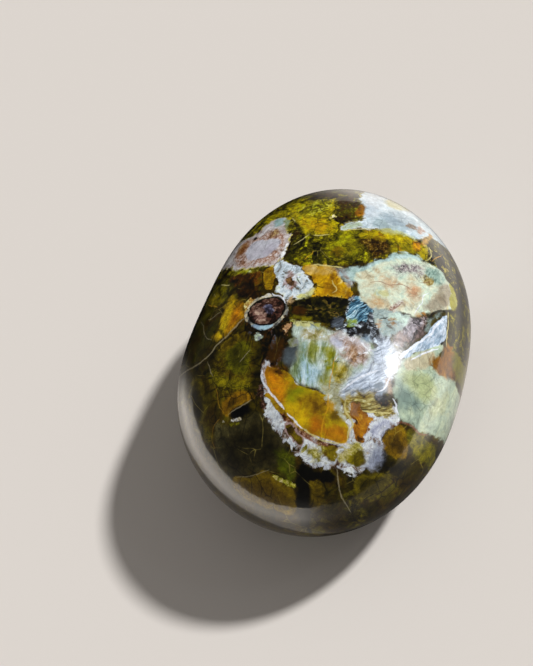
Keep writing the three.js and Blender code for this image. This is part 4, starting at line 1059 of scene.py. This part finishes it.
def grains(g, where, swayed):
    """The patterns that pick colours inside the zones."""
    def cloudy(name):
        noise, gain, cells, share = CLOUDY[name]
        return g.blend(g.contrast(g.noise(where, *noise), gain), g.cells(swayed, *cells), share)

    fine = g.contrast(g.noise(where, size=0.5, detail=4.0, roughness=0.75), gain=2.6)
    chips = g.cells(swayed, size=0.7, slope=1.0)
    made = {
        "cloud": cloudy("cloud"),
        "mottle": g.contrast(cloudy("mottle"), gain=1.5),
        "grit": g.contrast(g.blend(fine, chips, share=0.35), gain=1.4),
        "shard": g.contrast(g.blend(chips, fine, share=0.4), gain=1.3),
    }
    made["flake"] = g.contrast(g.blend(cloudy("flake"), made["shard"], share=0.28), gain=1.7)
    made["smooth"] = cloudy("smooth")
    for name, streaks in STREAKED.items():
        along = g.noise(g.stretched(swayed, *streaks), size=1.0, detail=5.0, roughness=0.7, distortion=0.5)
        made[name] = g.contrast(along, gain=2.8)
    return made


def paint(g, below, zone, grain, wobble, fray):
    """One zone's colours over what is there."""
    edge = g.math("MULTIPLY_ADD", wobble, zone.wobble, g.attribute(zone.name))
    edge = g.math("MULTIPLY_ADD", fray, zone.fray, edge)
    mask = g.step(edge, -zone.soft, zone.soft, 0.0, zone.cover)
    pick = grain[zone.grain]
    if zone.depth:
        reach, share = zone.depth
        inward = g.step(edge, 0.0, reach)
        pick = g.math("ADD", g.math("MULTIPLY", pick, share), g.math("MULTIPLY", inward, 1 - share))
    above = g.ramp(pick, zone.colours) if len(zone.colours) > 1 else linear(zone.colours[0])
    done = g.mix(mask, below, above)
    if zone.line:
        width, colour, *broken = zone.line
        band = g.step(g.math("ABSOLUTE", edge), width * LINE_CORE, width, 1.0, 0.0)
        if broken:
            band = g.math("MULTIPLY", band, g.step(grain["grit"], *LINE_GAPS))
        done = g.mix(band, done, linear(colour))
    return done


def zone_layers(zones):
    """A node group that paints some of the zones in turn over the colour it is given."""
    tree = bpy.data.node_groups.new("zone_layers", "ShaderNodeTree")
    g = Graph(tree)
    tree.interface.new_socket("below", in_out="INPUT", socket_type="NodeSocketColor")
    for name in ["wobble", "fray"] + sorted({zone.grain for zone in zones} | {"grit"}):
        tree.interface.new_socket(name, in_out="INPUT", socket_type="NodeSocketFloat")
    tree.interface.new_socket("colour", in_out="OUTPUT", socket_type="NodeSocketColor")
    given = g.node("NodeGroupInput").outputs
    colour = given["below"]
    for zone in zones:
        colour = paint(g, colour, zone, given, given["wobble"], given["fray"])
    g.node("NodeGroupOutput", (colour,))
    return tree


def painted(g, colour, zones, numbers):
    """The zones in turn over a colour, a few to a group."""
    for first in range(0, len(zones), ZONES_TOGETHER):
        layers = g.node("ShaderNodeGroup", node_tree=zone_layers(zones[first:first + ZONES_TOGETHER]))
        for socket in layers.inputs:
            g.feed(socket, numbers.get(socket.name, colour))
        colour = layers.outputs[0]
    return colour


def draw_veins(g, below, name, colour, wander, strength):
    """A group of thin lines over what is there."""
    off = g.math("ABSOLUTE", g.math("ADD", g.attribute(name + "_side"), wander))
    inward = g.math("SUBTRACT", g.attribute(name + "_width"), off)
    return g.mix(g.step(inward, *VEIN_EDGE, 0.0, strength), below, linear(colour))


def hairlines(g, below, where, swayed, strengths):
    """Hair-thin seams and cracks that come and go."""
    here = g.noise(where, size=4.0)
    masks = []
    for (size, width, shown, _), strength in zip(HAIRLINES, strengths):
        lines = g.cracks(swayed, size, width)
        masks.append(g.math("MULTIPLY", lines, g.step(here, *shown, 0.0, strength)))
    for mask, (*_, colour) in zip(masks, HAIRLINES):
        below = g.mix(mask, below, linear(colour))
    return below


def speckled(g, colour, fleck, darkest, lightest):
    """The colour with a fine speckle."""
    return g.mix(1.0, colour, g.grey(g.step(fleck, *SPECKLE_RANGE, darkest, lightest)), "MULTIPLY")


def graded(g, colour):
    """The colour with the deeper hues that a clear polish gives."""
    richer = g.node("ShaderNodeHueSaturation", {"Saturation": RICHNESS, "Value": BRIGHTNESS, "Color": colour})
    return g.node("ShaderNodeGamma", {"Gamma": DEPTH, "Color": richer.outputs[0]}).outputs[0]


def uneven_polish(g, where):
    """The slight waves that hand polishing leaves, as a normal."""
    waves = g.noise(where, POLISH_WAVE, roughness=0.5)
    given = {"Strength": 1.0, "Distance": POLISH_HEIGHT * MM, "Height": waves}
    return g.node("ShaderNodeBump", given).outputs[0]


def opal_colour(g, where, swayed):
    """The olive body, the patches on it and the veins over both."""
    grain = grains(g, where, swayed)
    wobble = g.math("SUBTRACT", g.contrast(g.noise(where, size=2.6, detail=2.0), gain=1.6), 0.5)
    torn = g.contrast(g.noise(where, size=0.8, detail=5.0, roughness=0.7), gain=1.8)
    fray = g.math("SUBTRACT", g.blend(torn, g.cells(swayed, size=0.9), share=0.45), 0.5)
    numbers = {**grain, "wobble": wobble, "fray": fray}
    colour = painted(g, g.ramp(grain["cloud"], GROUND), BODY, numbers)
    colour = hairlines(g, colour, where, swayed, BODY_HAIRLINES)
    fleck = g.noise(where, size=1.0, detail=7.0, roughness=0.85)
    colour = speckled(g, colour, fleck, *BODY_SPECKLE)
    colour = painted(g, colour, PATCHES, numbers)
    wander = g.math("SUBTRACT", g.noise(where, size=1.1, roughness=0.6), 0.5)
    wander = g.math("MULTIPLY", wander, VEIN_WANDER)
    for name, (tint, strength, _) in VEINS.items():
        colour = draw_veins(g, colour, name, tint, wander, strength)
    colour = hairlines(g, colour, where, swayed, ALL_HAIRLINES)
    return graded(g, speckled(g, colour, fleck, *ALL_SPECKLE))


def opal(g):
    """Polished opal: the colours under a glassy surface."""
    place = g.node("ShaderNodeTexCoord").outputs["Object"]
    where = g.node("ShaderNodeMapping", {"Vector": place, "Scale": (1 / MM, 1 / MM, 1 / MM)}).outputs[0]
    sway = g.node("ShaderNodeUVMap", uv_map="sway").outputs[0]
    swayed = g.node("ShaderNodeMapping", {"Vector": where, "Location": sway}).outputs[0]
    colour = opal_colour(g, where, swayed)
    polish = uneven_polish(g, where)
    given = {"Base Color": colour, "Normal": polish, "Coat Normal": polish}
    return g.node("ShaderNodeBsdfPrincipled", {**given, **SURFACE}).outputs[0]


# Pieces.

def keep(mesh, name, values):
    """Stores a number for each vertex, for the material to read."""
    layer = mesh.attributes.new(name, "FLOAT", "POINT")
    layer.data.foreach_set("value", np.asarray(values, np.float32))


def keep_sway(mesh, points):
    """Stores a small smooth shift for each place, in millimetres, as a map that bends the patterns' edges."""
    chance = np.random.default_rng(SWAY_SEED)
    shift = np.zeros((len(points), 2))
    for wavelength, reach in SWAY_WAVES:
        for _ in range(WAVES_EACH):
            heading = chance.normal(size=3)
            heading *= 2 * math.pi / wavelength / np.linalg.norm(heading)
            wave = np.sin(points @ heading + chance.uniform(0, 2 * math.pi))
            shift += reach * wave[:, None] * chance.normal(size=2)
    corner = np.empty(len(mesh.loops), np.int32)
    mesh.loops.foreach_get("vertex_index", corner)
    mesh.uv_layers.new(name="sway").data.foreach_set("uv", shift[corner].astype(np.float32).ravel())


def placed(name, data):
    """An object with this mesh, lamp or camera, in the scene."""
    made = bpy.data.objects.new(name, data)
    bpy.context.collection.objects.link(made)
    return made


def stone_skin():
    """The finely meshed stone, with its distance to each zone at every vertex."""
    plan = skin_plan()
    points = lift(plan)
    rings = (len(plan) - 2) // STEPS_AROUND
    mesh = bpy.data.meshes.new("opal_skin")
    inset = np.array([SKIN_INSET, SKIN_INSET, 1.0]) * MM
    mesh.from_pydata([tuple(p * inset) for p in points], [], skin_faces(rings))
    mesh.validate()
    keep_sway(mesh, points)
    for zone in BODY + PATCHES:
        keep(mesh, zone.name, zone_distance(plan, points, zone.outline))
    for name, (_, _, veins) in VEINS.items():
        side, width = vein_fields(plan, points, veins)
        keep(mesh, name + "_side", side)
        keep(mesh, name + "_width", width)
    for face in mesh.polygons:
        face.use_smooth = True
    made = placed("opal_skin", mesh)
    mesh.materials.append(dress(bpy.data.materials.new("polished_opal"), opal))
    return made


def pale_floor(g):
    """A plain floor. The polish mirrors painted light and shade on it, by way and distance from the stone."""
    mirrored = g.node("ShaderNodeLightPath").outputs["Is Glossy Ray"]
    place = g.node("ShaderNodeTexCoord").outputs["Object"]
    x, y, _ = g.node("ShaderNodeSeparateXYZ", (place,)).outputs
    far = g.math("SQRT", g.math("MULTIPLY_ADD", x, x, g.math("MULTIPLY", y, y)))
    seen = g.mix(g.step(far, *MIRROR_REACH), MIRRORED_NEAR_PAINTED_SHADE, MIRRORED_FAR_PAINTED_LIGHT)
    for (toward_x, toward_y), start, end, left in MIRRORED_PAINTED_SHADE:
        along = g.math("MULTIPLY_ADD", x, toward_x, g.math("MULTIPLY", y, toward_y))
        shade = g.step(g.math("DIVIDE", along, far), start, end, 0.0, 1.0 - left)
        seen = g.mix(shade, seen, (0.0, 0.0, 0.0, 1.0))
    given = {"Base Color": g.mix(mirrored, linear(FLOOR_COLOUR), seen), "Roughness": FLOOR_ROUGHNESS,
             "Specular IOR Level": FLOOR_GLOSS}
    return g.node("ShaderNodeBsdfPrincipled", given).outputs[0]


def floor():
    """The floor that the stone lies on."""
    mesh = bpy.data.meshes.new("floor")
    corners = [(-1, -1), (1, -1), (1, 1), (-1, 1)]
    mesh.from_pydata([(x * FLOOR_HALF, y * FLOOR_HALF, 0) for x, y in corners], [], [(0, 1, 2, 3)])
    mesh.materials.append(dress(bpy.data.materials.new("pale_floor"), pale_floor))
    placed("floor", mesh)


def lamp(name, direction, energy, angle):
    """A far lamp. Energy is watts per square metre and angle the width of its disc in degrees."""
    data = bpy.data.lights.new(name, "SUN")
    data.energy = energy
    data.angle = math.radians(angle)
    made = placed(name, data)
    made.rotation_mode = "QUATERNION"
    made.rotation_quaternion = direction.to_track_quat("Z", "Y")
    return made


def room(g):
    """A dim room, dimmer in the polish and lighter where the camera sees it."""
    seen = g.node("ShaderNodeLightPath").outputs["Is Camera Ray"]
    mirrored = g.node("ShaderNodeLightPath").outputs["Is Glossy Ray"]
    light = g.mix(mirrored, ROOM_LIGHT, ROOM_MIRRORED)
    return g.node("ShaderNodeBackground", {"Color": g.mix(seen, light, ROOM_SEEN)}).outputs[0]


def lights():
    """The lamp that lights the stone, the lamp of the hot spot, and the room."""
    lamp("key", *KEY_LAMP).visible_glossy = False
    lamp("glint", *GLINT_LAMP).visible_diffuse = False
    bpy.context.scene.world = dress(bpy.data.worlds.new("room"), room, "ShaderNodeOutputWorld")


def camera():
    """The camera at the photograph's viewing angle."""
    lens = bpy.data.cameras.new("camera")
    lens.sensor_width = CAMERA_SENSOR
    lens.lens = CAMERA_LENS
    lens.clip_start, lens.clip_end = CAMERA_CLIP
    made = placed("camera", lens)
    cos_elevation = math.cos(CAMERA_ELEVATION)
    back = Vector((math.sin(CAMERA_AZIMUTH) * cos_elevation, -math.cos(CAMERA_AZIMUTH) * cos_elevation,
                   math.sin(CAMERA_ELEVATION)))
    level_right = Vector((0, 0, 1)).cross(back).normalized()
    level_up = back.cross(level_right)
    right = level_right * math.cos(CAMERA_ROLL) + level_up * math.sin(CAMERA_ROLL)
    up = back.cross(right)
    turn = Matrix((right, up, back)).transposed()
    made.matrix_world = Matrix.Translation(CAMERA_AIM + back * CAMERA_DISTANCE) @ turn.to_4x4()
    bpy.context.scene.camera = made


camera()
floor()
lights()
skin = stone_skin()
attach(skin, "root")
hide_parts("stone")
bpy.context.scene.view_settings.view_transform = "Standard"
